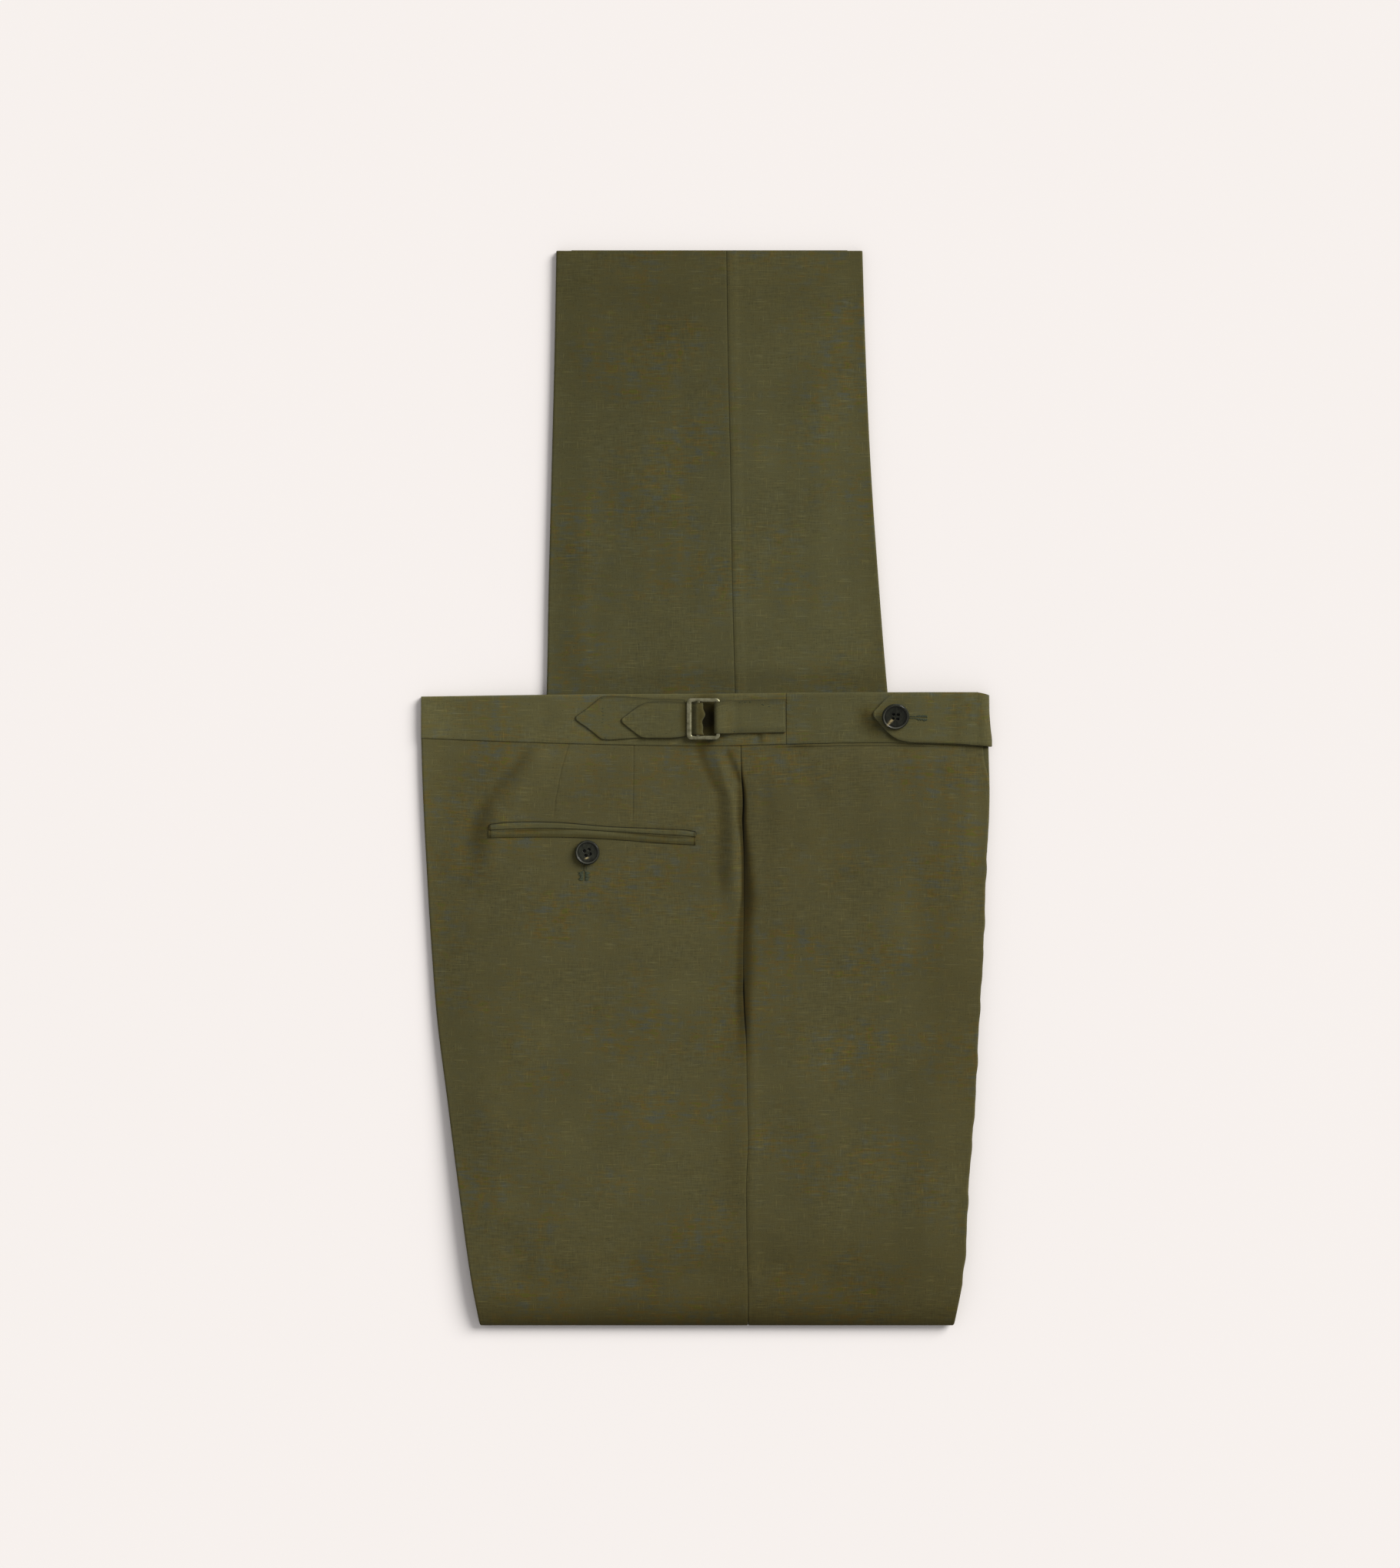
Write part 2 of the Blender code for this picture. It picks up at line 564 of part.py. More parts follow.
def buckle(low, high):
    """A cast slide with a wide back bar and a bar across its window, its edges eased all round."""
    ease = 0.4
    window_back, window_front = BUCKLE_BACK + BUCKLE_WIDE_BAR, BUCKLE_FRONT - BUCKLE_BAR
    bar_back, bar_front = CENTRE_BAR_X - CENTRE_BAR / 2, CENTRE_BAR_X + CENTRE_BAR / 2
    window_low, window_high = BUCKLE_LOW + BUCKLE_BAR, BUCKLE_HIGH - BUCKLE_BAR
    outlines = (
        (BUCKLE_BACK, BUCKLE_LOW, BUCKLE_FRONT, BUCKLE_HIGH, BUCKLE_CORNER, ease),
        (window_back, window_low, bar_back, window_high, 0.7, -ease),
        (bar_front, window_low, window_front, window_high, 0.9, -ease),
    )
    points, faces, flat_loops = [], [], []
    top = float(band_top(0.0, 48.0))
    for x0, y0, x1, y1, corner, inset in outlines:
        first = len(points)
        for z, shrink in ((low, inset), (low + ease, 0.0), (high - ease, 0.0), (high, inset)):
            radius = corner - shrink if shrink > 0 else corner + abs(shrink) * 0.5
            box = (x0 + shrink, y0 + shrink, x1 - shrink, y1 - shrink)
            points += [(x, y, top + z) for x, y in rounded_rectangle(*box, radius)]
        count = (len(points) - first) // 4
        flat_loops.append((first, count))
        for level in range(3):
            for k in range(count):
                n = (k + 1) % count
                a, b = first + level * count + k, first + level * count + n
                quad = (a, b, b + count, a + count)
                faces.append(quad if inset > 0 else tuple(reversed(quad)))
    for level in (0, 3):
        loops = [[Vector(points[f + level * c + k]) for k in range(c)] for f, c in flat_loops]
        order = [f + level * c + k for f, c in flat_loops for k in range(c)]
        for triangle in tessellate_polygon(loops):
            a, b, c = (order[k] for k in triangle)
            area = np.cross(np.subtract(points[b], points[a]), np.subtract(points[c], points[a]))[2]
            upward = (a, b, c) if area > 0 else (a, c, b)
            faces.append(upward if level else tuple(reversed(upward)))
    return solid("adjuster_buckle", points, faces, NICKEL)


# ---- Back pocket and buttons ----------------------------------------------------------------------------
def surface_of(obj):
    """Finds the height of an object's upper face."""
    vertices = [v.co / MM for v in obj.data.vertices]
    tree = BVHTree.FromPolygons(vertices, [tuple(p.vertices) for p in obj.data.polygons])
    return lambda x, y: tree.ray_cast(Vector((x, y, 100.0)), Vector((0.0, 0.0, -1.0)))[0].z


def jet(name, shape, height_at):
    """A narrow welt that lies on the back panel, softly rounded across."""
    thick = 0.8
    stations = np.linspace(shape["x"][0], shape["x"][-1], 14)
    rings = []
    for x in stations:
        low, high = float(edge(shape, "low", x)), float(edge(shape, "high", x))
        y = np.array([low, low + 0.8, high - 0.8, high, high, high - 0.8, low + 0.8, low])
        z = np.array([height_at(float(x), float(v)) for v in y]) + GAP
        z += np.array([0.45, 0.95, 0.95, 0.45, 0.0, 0.0, 0.0, 0.0]) * thick
        rings.append(np.stack([np.full(len(y), x), y, z], axis=-1))
    count = len(rings[0])
    faces = ring_faces(len(rings), count, [True] * count)
    caps(faces, [(0, 1, 6, 7), (1, 2, 5, 6), (2, 3, 4, 5)], (len(rings) - 1) * count)
    return solid(name, np.concatenate(rings), faces, LINEN)


def button(name, centre, base, tilt):
    """A turned button with a rounded rim and a dished face, lying on what it fastens."""
    around = 28
    lean = math.radians(tilt)
    points = []
    for radius, height in zip(BUTTON["radius"], BUTTON["height"]):
        for k in range(around):
            angle = 2.0 * math.pi * k / around
            points.append((radius * math.cos(angle), radius * math.sin(angle), height))
    bottom, top = len(points), len(points) + 1
    points += [(0.0, 0.0, BUTTON["height"][0]), (0.0, 0.0, BUTTON["height"][-1])]
    rings = len(BUTTON["radius"])
    faces = ring_faces(rings, around, [True] * around)
    for k in range(around):
        n = (k + 1) % around
        faces.append((bottom, n, k))
        faces.append((top, (rings - 1) * around + k, (rings - 1) * around + n))
    x, y, z = np.array(points).T
    leaning_y = y * math.cos(lean) - z * math.sin(lean)
    leaning_z = y * math.sin(lean) + z * math.cos(lean)
    seated = [x + centre[0], leaning_y + centre[1], leaning_z - leaning_z.min() + base]
    return solid(name, np.stack(seated, axis=-1), faces, HORN)


def back_pocket(right_back):
    height_at = surface_of(right_back)
    jet("pocket_upper_jet", UPPER_JET, height_at)
    jet("pocket_lower_jet", LOWER_JET, height_at)
    x, y = POCKET_BUTTON
    seat = max(height_at(x + dx, y + dy) for dx in (-8.0, 0.0, 8.0) for dy in (-8.0, 0.0, 8.0))
    button("pocket_button", POCKET_BUTTON, seat + 2 * GAP, 0.0)


def main():
    clear_scene()
    right_back = panel("right_back_panel", "right", "back")
    panel("right_front_panel", "right", "front")
    panel("left_back_panel", "left", "back")
    panel("left_front_panel", "left", "front")
    inner_layers()
    pleat_fold()
    seam = BAND_SEAM_X
    waistband("waistband_right_back", (-BAND_END, seam - GAP / 2), BAND_LINES, True, True)
    waistband("waistband_right_front", (seam + GAP / 2, BAND_FRONT), BAND_FRONT_LINES, True, False)
    every_line = (*BAND_LINES, seam, *BAND_FRONT_LINES)
    waistband("waistband_left", (-BAND_END, EXTENSION_SEAM), every_line, False, True)
    extension_tab()
    adjuster()
    back_pocket(right_back)
    x, y = TAB_BUTTON
    button("waistband_button", TAB_BUTTON, float(band_top(x, y)) + EXTENSION + 3 * GAP, TAB_BUTTON_TILT)


main()
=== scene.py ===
"""Pleated linen trousers with side adjusters, pressed crease to crease, folded once and laid flat.

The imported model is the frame: +Z up from the table, +X towards the garment's front, +Y towards the
hems. Shapes are worked out in millimetres and written to each mesh in metres.
"""

import math

import bpy
import numpy as np
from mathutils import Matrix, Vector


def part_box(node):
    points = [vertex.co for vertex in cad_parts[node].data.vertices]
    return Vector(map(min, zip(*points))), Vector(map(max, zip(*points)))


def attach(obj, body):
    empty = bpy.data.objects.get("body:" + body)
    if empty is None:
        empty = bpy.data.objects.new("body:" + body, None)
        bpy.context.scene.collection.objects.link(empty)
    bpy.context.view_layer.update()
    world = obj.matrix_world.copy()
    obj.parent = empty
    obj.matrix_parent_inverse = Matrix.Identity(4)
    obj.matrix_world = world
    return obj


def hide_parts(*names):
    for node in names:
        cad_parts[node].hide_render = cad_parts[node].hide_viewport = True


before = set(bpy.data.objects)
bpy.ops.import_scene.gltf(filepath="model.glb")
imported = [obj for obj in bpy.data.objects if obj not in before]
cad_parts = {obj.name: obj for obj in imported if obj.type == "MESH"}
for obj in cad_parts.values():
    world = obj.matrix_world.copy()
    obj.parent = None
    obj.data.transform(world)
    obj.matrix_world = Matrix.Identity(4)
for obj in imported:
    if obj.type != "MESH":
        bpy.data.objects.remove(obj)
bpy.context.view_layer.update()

# ---- Table, lamps and camera ---------------------------------------------------------------------------
# A plain pale table under soft studio light: one broad distant lamp over the upper right and pale
# light from all round. The camera looks straight down from three metres.
MM = 0.001
scene = bpy.context.scene
scene.view_settings.view_transform = "Standard"


def surface(name, grid, uv=None, around=False, capped=False, flipped=False, **marks):
    """A mesh over a grid of points (rows, columns, 3) in millimetres, one quad to a cell. around joins
    the last column to the first, and capped closes both end rows. uv has one column more where it
    goes around, so that the pattern runs on over the join. marks hold one number for each point."""
    rows, columns = grid.shape[:2]
    index = np.arange(rows * columns).reshape(rows, columns)
    wide = np.concatenate([index, index[:, :1]], axis=1) if around else index
    corners = [wide[:-1, :-1], wide[:-1, 1:], wide[1:, 1:], wide[1:, :-1]]
    quads = np.stack(corners, axis=-1).reshape(-1, 4)
    if around:  # turned outwards, by the sign of the volume inside
        p, q, r = (grid.reshape(-1, 3)[quads[:, k]] for k in (0, 1, 2))
        t = grid.reshape(-1, 3)[quads[:, 3]]
        flipped = float((p * np.cross(q, r)).sum() + (p * np.cross(r, t)).sum()) < 0.0
    faces = (quads[:, ::-1] if flipped else quads).tolist()
    if capped:
        first, last = index[0].tolist(), index[-1].tolist()
        faces += [first, last[::-1]] if flipped else [first[::-1], last]
    mesh = bpy.data.meshes.new(name)
    mesh.from_pydata((grid.reshape(-1, 3) * MM).tolist(), [], faces)
    if uv is not None:
        pattern = np.stack([uv[:-1, :-1], uv[:-1, 1:], uv[1:, 1:], uv[1:, :-1]], axis=2).reshape(-1, 4, 2)
        pattern = (pattern[:, ::-1] if flipped else pattern).reshape(-1, 2)
        if capped:
            first, last = uv[0, :columns], uv[-1, :columns]
            ends = [first, last[::-1]] if flipped else [first[::-1], last]
            pattern = np.concatenate([pattern, *ends])
        mesh.uv_layers.new(name="cloth").uv.foreach_set("vector", (pattern * MM).ravel())
    for mark, values in marks.items():
        layer = mesh.attributes.new(mark, "FLOAT", "POINT")
        layer.data.foreach_set("value", np.broadcast_to(values, (rows, columns)).ravel().astype(np.float32))
    mesh.shade_smooth()
    piece = bpy.data.objects.new(name, mesh)
    scene.collection.objects.link(piece)
    return piece


def feed(tree, made, inputs):
    """Sets a node's inputs, by name or number, from values or from other nodes' outputs."""
    for key, value in inputs.items():
        if isinstance(value, bpy.types.NodeSocket):
            tree.links.new(value, made.inputs[key])
        else:
            made.inputs[key].default_value = value


def node(tree, kind, settings=None, inputs=None):
    """A shader node with its settings and its inputs."""
    made = tree.nodes.new("ShaderNode" + kind)
    for key, value in (settings or {}).items():
        setattr(made, key, value)
    feed(tree, made, inputs or {})
    return made


def mix(tree, share, one, other):
    """A colour that goes from one to the other with the share."""
    return node(tree, "Mix", {"data_type": "RGBA"}, {0: share, 6: one, 7: other}).outputs[2]


def new_material(name):
    """A material with an empty Principled BSDF joined to its output."""
    made = bpy.data.materials.new(name)
    made.use_nodes = True
    return made, made.node_tree, made.node_tree.nodes["Principled BSDF"]


TABLE_HALF, TABLE_DROP = 9000.0, -0.2
sides = np.array([-TABLE_HALF, TABLE_HALF])
corners = np.stack([*np.meshgrid(sides, sides), np.full((2, 2), TABLE_DROP)], axis=-1)
table_top = surface("table_top", corners)
material, tree, shader = new_material("table_paper")
fibres = node(tree, "TexNoise", None, {"Vector": node(tree, "TexCoord").outputs["Object"], "Scale": 3.0})
paper = mix(tree, fibres.outputs["Fac"], (0.9, 0.865, 0.85, 1.0), (0.91, 0.875, 0.86, 1.0))
feed(tree, shader, {"Base Color": paper, "Roughness": 0.9, "Specular IOR Level": 0.1})
table_top.data.materials.append(material)

key = bpy.data.lights.new("key_lamp", "SUN")
key.energy, key.angle, key.color = 3.4, 0.6, (1.0, 0.985, 0.96)
key_lamp = bpy.data.objects.new("key_lamp", key)
key_lamp.rotation_euler = (math.radians(-30.7), math.radians(49.4), 0.0)
scene.collection.objects.link(key_lamp)
world = bpy.data.worlds.new("studio")
world.use_nodes = True
world.node_tree.nodes["Background"].inputs["Color"].default_value = (0.985, 0.965, 0.965, 1.0)
world.node_tree.nodes["Background"].inputs["Strength"].default_value = 0.43
scene.world = world

PIXEL, PHOTO_HEIGHT = 0.54, 2038  # millimetres to one of the photograph's 1820 x 2038 pixels
LENS, SENSOR = 100.0, 36.0
SHARP_HEIGHT = 0.008  # metres over the table where a pixel is that long
camera = bpy.data.objects.new("camera", bpy.data.cameras.new("camera"))
camera.data.lens, camera.data.sensor_width = LENS, SENSOR
camera.location = (-4.3 * MM, 2.8 * MM, SHARP_HEIGHT + PHOTO_HEIGHT * PIXEL * MM * LENS / SENSOR)
scene.collection.objects.link(camera)
scene.camera = camera

# ---- Leg panels ----------------------------------------------------------------------------------------
# Four panels of olive linen suiting, half a millimetre thick, sewn together along the side seams with
# the allowance pressed open. Each is pressed sharp at its crease, where the cloth turns back under
# itself, and its hem is turned up once.
CLOTH = 0.5
STACK = 5.0  # the right leg on the left leg
BED = 5.3  # the hips lie on the legs at this height
RIM, RIM_WIDTH, RIM_NOSE = 2.35, 10.0, 1.6  # the creases
PLEATED_RIM, PLEAT_SETBACK = 1.1, 3.8
ROLL_LENGTH, ROLL_EASE, ROLL_HEIGHT = 26.0, 2.0, 5.15  # the cross fold
FOLD_Y, HEM_Y = -377.5, 377.5
ROLL_Y = FOLD_Y + ROLL_LENGTH
HIP_TOP, HIP_RUN = 30.5, 382.0  # stations down the hips start at the one and run the other
HEM_TURN = 0.56
SEAM_GAP, SEAM_ALLOWANCE = 0.06, 9.0
SEAM_DIP, DART_DIP, SLIT_RIDGE = 0.2, 0.22, 0.5  # the waist seam, the darts, and between the welts
HIP, ROLL, LEG = 0, 1, 2


def table(names, *lines):
    """Rows of numbers as one array for each named column."""
    return dict(zip(names.split(), np.array(lines, float).T))


HIPS = table(
    "y back side front",
    (30.5, -200.3, 24.3, 198.5),
    (-3.0, -199.3, 25.7, 199.2),
    (-57.0, -196.6, 26.7, 196.8),
    (-111.0, -193.3, 27.8, 194.9),
    (-165.0, -189.0, 27.9, 191.7),
    (-219.0, -182.0, 28.6, 189.0),
    (-273.0, -175.0, 29.2, 184.7),
    (-345.0, -165.0, 29.4, 180.2),
    (-377.5, -159.3, 29.4, 174.5),
)
LEGS = table(
    "y back side front",
    (-377.5, -159.3, 29.4, 174.5),
    (-345.0, -154.0, 28.8, 177.0),
    (-188.7, -129.1, 25.9, 156.1),
    (-40.8, -116.6, 22.7, 139.9),
    (66.2, -112.1, 20.3, 127.7),
    (141.8, -110.7, 18.4, 121.5),
    (228.2, -108.5, 17.0, 115.6),
    (314.6, -106.4, 15.1, 111.8),
    (377.5, -105.3, 14.3, 109.9),
)
WAIST = table(
    "x seam top",
    (-201.0, 34.8, 64.3),
    (-96.0, 31.0, 65.6),
    (24.0, 29.7, 66.4),
    (56.0, 30.6, 66.8),
    (130.0, 31.6, 67.2),
    (202.0, 29.2, 67.4),
)
HIP_FOLDS = (  # height, then (x, y, half its width) along each soft trough or ridge
    (-1.5, (-120, 38, 5), (-138, 11, 6), (-157, -12, 7), (-163, -34, 9), (-168, -64, 9)),
    (1.5, (-106, 40, 6), (-122, 14, 8), (-145, -12, 9), (-153, -40, 10), (-156, -76, 12)),
    (-0.8, (-6, 46, 3.2), (-3.2, 22, 3.6), (1.6, 10, 3.2), (9.6, -6, 3.2), (10.6, -29, 4.4), (10, -52, 4.4),
     (11.4, -86, 3)),
    (1.1, (4, 46, 3.5), (7, 26, 3.5), (11.6, 10, 3.3), (17.8, -8, 3.2), (19, -29, 3.6), (19.6, -90, 5)),
    (-1.2, (13, 30, 1.8), (17.5, 19, 2.2), (21, 10, 2.4), (25, 0, 2.2)),
    (-0.9, (39, 20, 5), (41, -20, 7), (40, -80, 9), (38, -140, 9)),
    (-0.8, (62, 44, 8), (72, 4, 10), (88, -44, 14), (96, -110, 16)),
    (0.8, (112, 40, 10), (118, 0, 12), (128, -60, 16), (130, -140, 18)),
    (-0.7, (168, 30, 7), (164, -10, 9), (152, -60, 12), (148, -130, 12)),
    (0.5, (186, 20, 5), (183, -30, 7), (178, -110, 8)),
    (-0.8, (-60, -60, 12), (-80, -120, 18), (-112, -190, 20), (-126, -260, 18)),
    (0.8, (-20, -90, 14), (-34, -160, 18), (-60, -240, 20), (-74, -310, 16)),
    (-1.0, (12, -286, 12), (30, -314, 16), (52, -342, 12)),
    (0.8, (60, -150, 16), (74, -230, 18), (90, -320, 16)),
    (-0.9, (128, -170, 12), (136, -250, 14), (132, -340, 14)),
    (-0.9, (-150, -300, 10), (-132, -330, 12), (-128, -372, 10)),
    (0.8, (-92, -318, 10), (-86, -346, 10), (-84, -376, 9)),
    (-0.9, (-56, -326, 9), (-46, -350, 10), (-44, -378, 9)),
    (-0.8, (88, -330, 9), (84, -352, 10), (82, -378, 9)),
)
LEG_FOLDS = (
    (-0.9, (-84, 84, 8), (-76, 130, 10), (-70, 190, 12), (-66, 250, 12)),
    (0.6, (-46, 92, 8), (-42, 150, 10), (-40, 220, 12), (-44, 300, 12)),
    (-0.6, (-14, 96, 7), (-12, 160, 8), (-16, 240, 10), (-20, 320, 10)),
    (-0.5, (44, 92, 7), (48, 150, 9), (52, 220, 10), (50, 300, 11)),
    (0.6, (78, 90, 7), (80, 160, 10), (78, 240, 10), (76, 330, 10)),
    (-0.5, (100, 96, 6), (98, 170, 8), (94, 250, 8)),
)
DARTS = (  # (x, y) down each dart in the right back panel
    ((-96.1, 31.5), (-101.5, 13.1), (-105.8, -9.0), (-106.9, -23.6)),
    ((-50.8, 30.5), (-51.0, 10.0), (-51.3, -10.0), (-51.4, -25.0)),
)
# The slot's black line is a groove darkened by painted shadow, and the soft shade on the front and back is
# painted shade.
SIDE_SLOT = table(  # sideways shift of its edge, its black line, and the soft shade on the front and back
    "y shift line front front_reach back back_reach",
    (30.0, 0.0, 0.3, 0.0, 1.5, 0.0, 3.0),
    (18.0, -0.4, 0.35, 0.3, 1.5, 0.0, 3.0),
    (10.0, -0.6, 0.5, 0.6, 1.7, 0.1, 3.0),
    (0.0, -0.2, 0.6, 0.85, 2.4, 0.4, 3.4),
    (-11.0, -0.2, 0.65, 0.88, 2.9, 0.5, 3.8),
    (-22.0, -0.8, 0.6, 0.88, 3.3, 0.55, 3.4),
    (-33.0, -0.5, 0.35, 0.84, 3.9, 0.6, 2.2),
    (-44.0, -0.2, 0.15, 0.82, 4.8, 0.65, 1.9),
    (-60.0, -0.3, 0.03, 0.79, 6.3, 0.68, 1.8),
    (-76.0, -0.6, 0.0, 0.76, 7.8, 0.68, 2.0),
    (-87.0, -1.0, 0.0, 0.7, 7.2, 0.52, 3.2),
    (-98.0, -1.3, 0.0, 0.64, 6.2, 0.5, 4.1),
    (-120.0, -1.8, 0.0, 0.62, 6.8, 0.5, 4.8),
    (-132.0, -1.8, 0.2, 0.63, 6.4, 0.52, 5.1),
    (-141.0, -1.8, 0.8, 0.66, 5.5, 0.52, 5.4),
    (-152.0, -1.4, 0.65, 0.68, 5.0, 0.48, 5.6),
    (-163.0, -0.8, 0.75, 0.66, 4.2, 0.45, 5.8),
    (-173.0, -0.1, 0.45, 0.42, 3.8, 0.3, 6.0),
    (-184.0, 0.2, 0.2, 0.22, 4.0, 0.16, 6.2),
    (-200.0, 0.2, 0.15, 0.1, 4.0, 0.05, 6.0),
    (-222.0, 0.3, 0.15, 0.0, 4.0, 0.0, 6.0),
    (-249.0, 0.5, 0.2, 0.0, 4.0, 0.0, 6.0),
    (-270.0, -0.7, 0.2, 0.0, 4.0, 0.0, 6.0),
    (-318.0, -0.8, 0.25, 0.0, 4.0, 0.0, 6.0),
    (-352.0, 0.0, 0.2, 0.0, 4.0, 0.0, 6.0),
)
POCKET_SLIT = table(
    "x y", (-154.0, -29.9), (-108.5, -29.0), (-69.9, -30.7), (-31.3, -33.2), (-7.0, -34.9)
)


def smooth(t):
    """0 to 1 with level ends, 3 t^2 - 2 t^3."""
    t = np.clip(t, 0.0, 1.0)
    return t * t * (3.0 - 2.0 * t)


def bell(distance, width):
    """1 at no distance, falling off on both sides as exp(-(distance / width)^2)."""
    return np.exp(-((distance / width) ** 2))


def through(rows, key, column, at):
    """A cubic curve through a table's column, its slope at each row taken from the neighbours."""
    x, y = rows[key], rows[column]
    order = np.argsort(x)
    x, y = x[order], y[order]
    slope = np.gradient(y, x)
    at = np.clip(np.asarray(at, float), x[0], x[-1])
    i = np.clip(np.searchsorted(x, at) - 1, 0, len(x) - 2)
    h = x[i + 1] - x[i]
    t = (at - x[i]) / h
    start = y[i] * (1 + 2 * t) * (1 - t) ** 2 + slope[i] * h * t * (1 - t) ** 2
    return start + y[i + 1] * t * t * (3 - 2 * t) + slope[i + 1] * h * t * t * (t - 1)


def seam_line(x):
    """The waist seam's y."""
    return through(WAIST, "x", "seam", x)


def bed(x, y):
    """Height that the hips rest at: on the legs, and down to the table beyond them."""
    out = np.maximum(through(LEGS, "y", "back", y) - x, x - through(LEGS, "y", "front", y))
    return BED * (1.0 - smooth((out - 12.0) / 70.0))


def folds(x, y, lines):
    """Sum of soft troughs and ridges. Each falls off as a bell across its line, exp(-(d / width)^2),
    where d is the distance to the line, and dies away over a fifth of its length at both ends."""
    x, y = np.broadcast_arrays(x, y)
    total = np.zeros(x.shape)
    for height, *line in lines:
        line = np.array(line, float)
        lengths = np.hypot(*np.diff(line[:, :2], axis=0).T)
        nearest, share, width = np.full(x.shape, 1e9), np.zeros(x.shape), np.ones(x.shape)
        for a, b, length, before in zip(line, line[1:], lengths, np.cumsum(lengths) - lengths):
            t = np.clip(((x - a[0]) * (b[0] - a[0]) + (y - a[1]) * (b[1] - a[1])) / length**2, 0.0, 1.0)
            d = np.hypot(x - a[0] - t * (b[0] - a[0]), y - a[1] - t * (b[1] - a[1]))
            closer = d < nearest
            nearest = np.where(closer, d, nearest)
            share = np.where(closer, (before + t * length) / lengths.sum(), share)
            width = np.where(closer, a[2] + t * (b[2] - a[2]), width)
        total += height * bell(nearest, width) * smooth(share / 0.2) * smooth((1 - share) / 0.2)
    return total


# Painted shade along troughs, a crease and the side seam, and a faint painted highlight along a ridge.
HIP_SHADES = (  # share darker or lighter, then (x, y, half its width) along each line
    (-0.26, (-6, 46, 3.2), (-3.2, 22, 3.6), (1.6, 10, 3.2), (9.8, -6, 3.2), (10.8, -29, 4.2), (10, -52, 4.2),
     (11.4, -86, 2.6)),
    (0.05, (7, 26, 3), (11.6, 10, 3), (17.8, -8, 2.6), (19, -29, 2.6), (20, -70, 4)),
    (-0.3, (13.5, 29, 1.5), (17, 20, 1.9), (21, 10, 2.4), (25, 0, 2)),
    (-0.17, (-117, 40, 3.5), (-129, 19, 4), (-141, 6, 4.5), (-155, -12, 5), (-161, -30, 7), (-165, -54, 6)),
    (-0.05, (21, -150, 6), (20, -220, 8), (18, -300, 8)),
)
# Tone changes in the cloth, and painted shade below the buckle, under the band, in the seat's trough and
# where the hips roll over the cross fold.
HIP_TONES = (  # share lighter or darker, (x, y) of the middle, reach along x and y
    (0.2, -194, 8, 26, 60),
    (0.05, -120, 16, 60, 30),
    (-0.22, -1, 29, 6, 7),
    (-0.35, 66, 29.4, 11, 1.6),
    (-0.2, 139.6, 26.2, 1.5, 2.4),
    (-0.04, 46, -20, 14, 34),
    (-0.13, 176, -170, 22, 110),
    (-0.1, 10, -338, 230, 24),
    (-0.07, 110, -330, 110, 26),
    (-0.8, 0, -392, 300, 26),
    (-0.05, 128, -347, 60, 10),
    (-0.08, 70, -36, 14, 14),
    (-0.07, 20, -262, 14, 90),
    (-0.12, -160, -28, 7, 14),
    (-0.05, -136, -210, 16, 70),
)
# Tone changes in the cloth, and painted shade on the leg just above the waistband.
LEG_TONES = (
    (-0.13, 0, 380, 220, 82),
    (-0.06, -70, 320, 60, 80),
    (-0.03, -95, 170, 26, 90),
    (-0.05, 40, 76, 110, 9),
    (-0.09, 119, 200, 16, 200),
    (-0.1, 118, 75, 14, 14),
    (-0.06, -30, 200, 14, 120),
)


def spots(x, y, tones):
    """Sum of soft spots, each amount exp(-(dx / reach x)^2 - (dy / reach y)^2)."""
    total = np.zeros(np.broadcast(x, y).shape)
    for amount, x0, y0, wide, high in tones:
        total = total + amount * np.exp(-(((x - x0) / wide) ** 2) - ((y - y0) / high) ** 2)
    return np.maximum(total, -0.92)


def hip_lift(x, y, part):
    """Loft and folds of the upper hip layer, most along the back edge of the side pocket."""
    back, side, front = (through(HIPS, "y", column, y) for column in ("back", "side", "front"))
    mouth = smooth((14.0 - y) / 24.0) * smooth((y + 170.0) / 60.0)
    if part == "back":
        lift = 1.4 + 1.3 * mouth * bell(x - side + 3.0, 11.0)
    else:
        lift = 1.4 - 1.8 * mouth * bell(x - side, 9.0)
    lift = lift + 1.1 * smooth((-110.0 - y) / 130.0)
    edges = np.minimum(x - back, front - x)
    free = smooth((edges - 2.0) / 30.0) * smooth((seam_line(x) - y) / 16.0) * smooth((y - ROLL_Y) / 56.0)
    relief = folds(x, y, HIP_FOLDS) * smooth((edges - 1.0) / 16.0) * smooth((seam_line(x) - y + 2.0) / 14.0)
    return np.maximum(lift * free + relief, -0.9 * smooth(edges / 12.0))


def leg_lift(x, y):
    """Loft and folds of the leg's upper layer beyond the waistband."""
    edges = np.minimum(x - through(LEGS, "y", "back", y), through(LEGS, "y", "front", y) - x)
    shown = smooth((edges - 2.0) / 26.0) * smooth((HEM_Y - y) / 30.0)
    rise = 2.3 * smooth((y - 66.5) / 20.0) - 0.7 * smooth((y - 100.0) / 120.0)
    return (rise + folds(x, y, LEG_FOLDS)) * shown


def dart_marks(x, y):
    """1 on a dart's seam, falling to 0 within half a millimetre, and 0 below its point."""
    mark = np.zeros(x.shape)
    for line in DARTS:
        px, py = np.array(line).T
        d = x - np.interp(-y, -py, px)
        mark = np.maximum(mark, bell(d, 0.55) * smooth((y - py[-1]) / 8.0))
    return mark


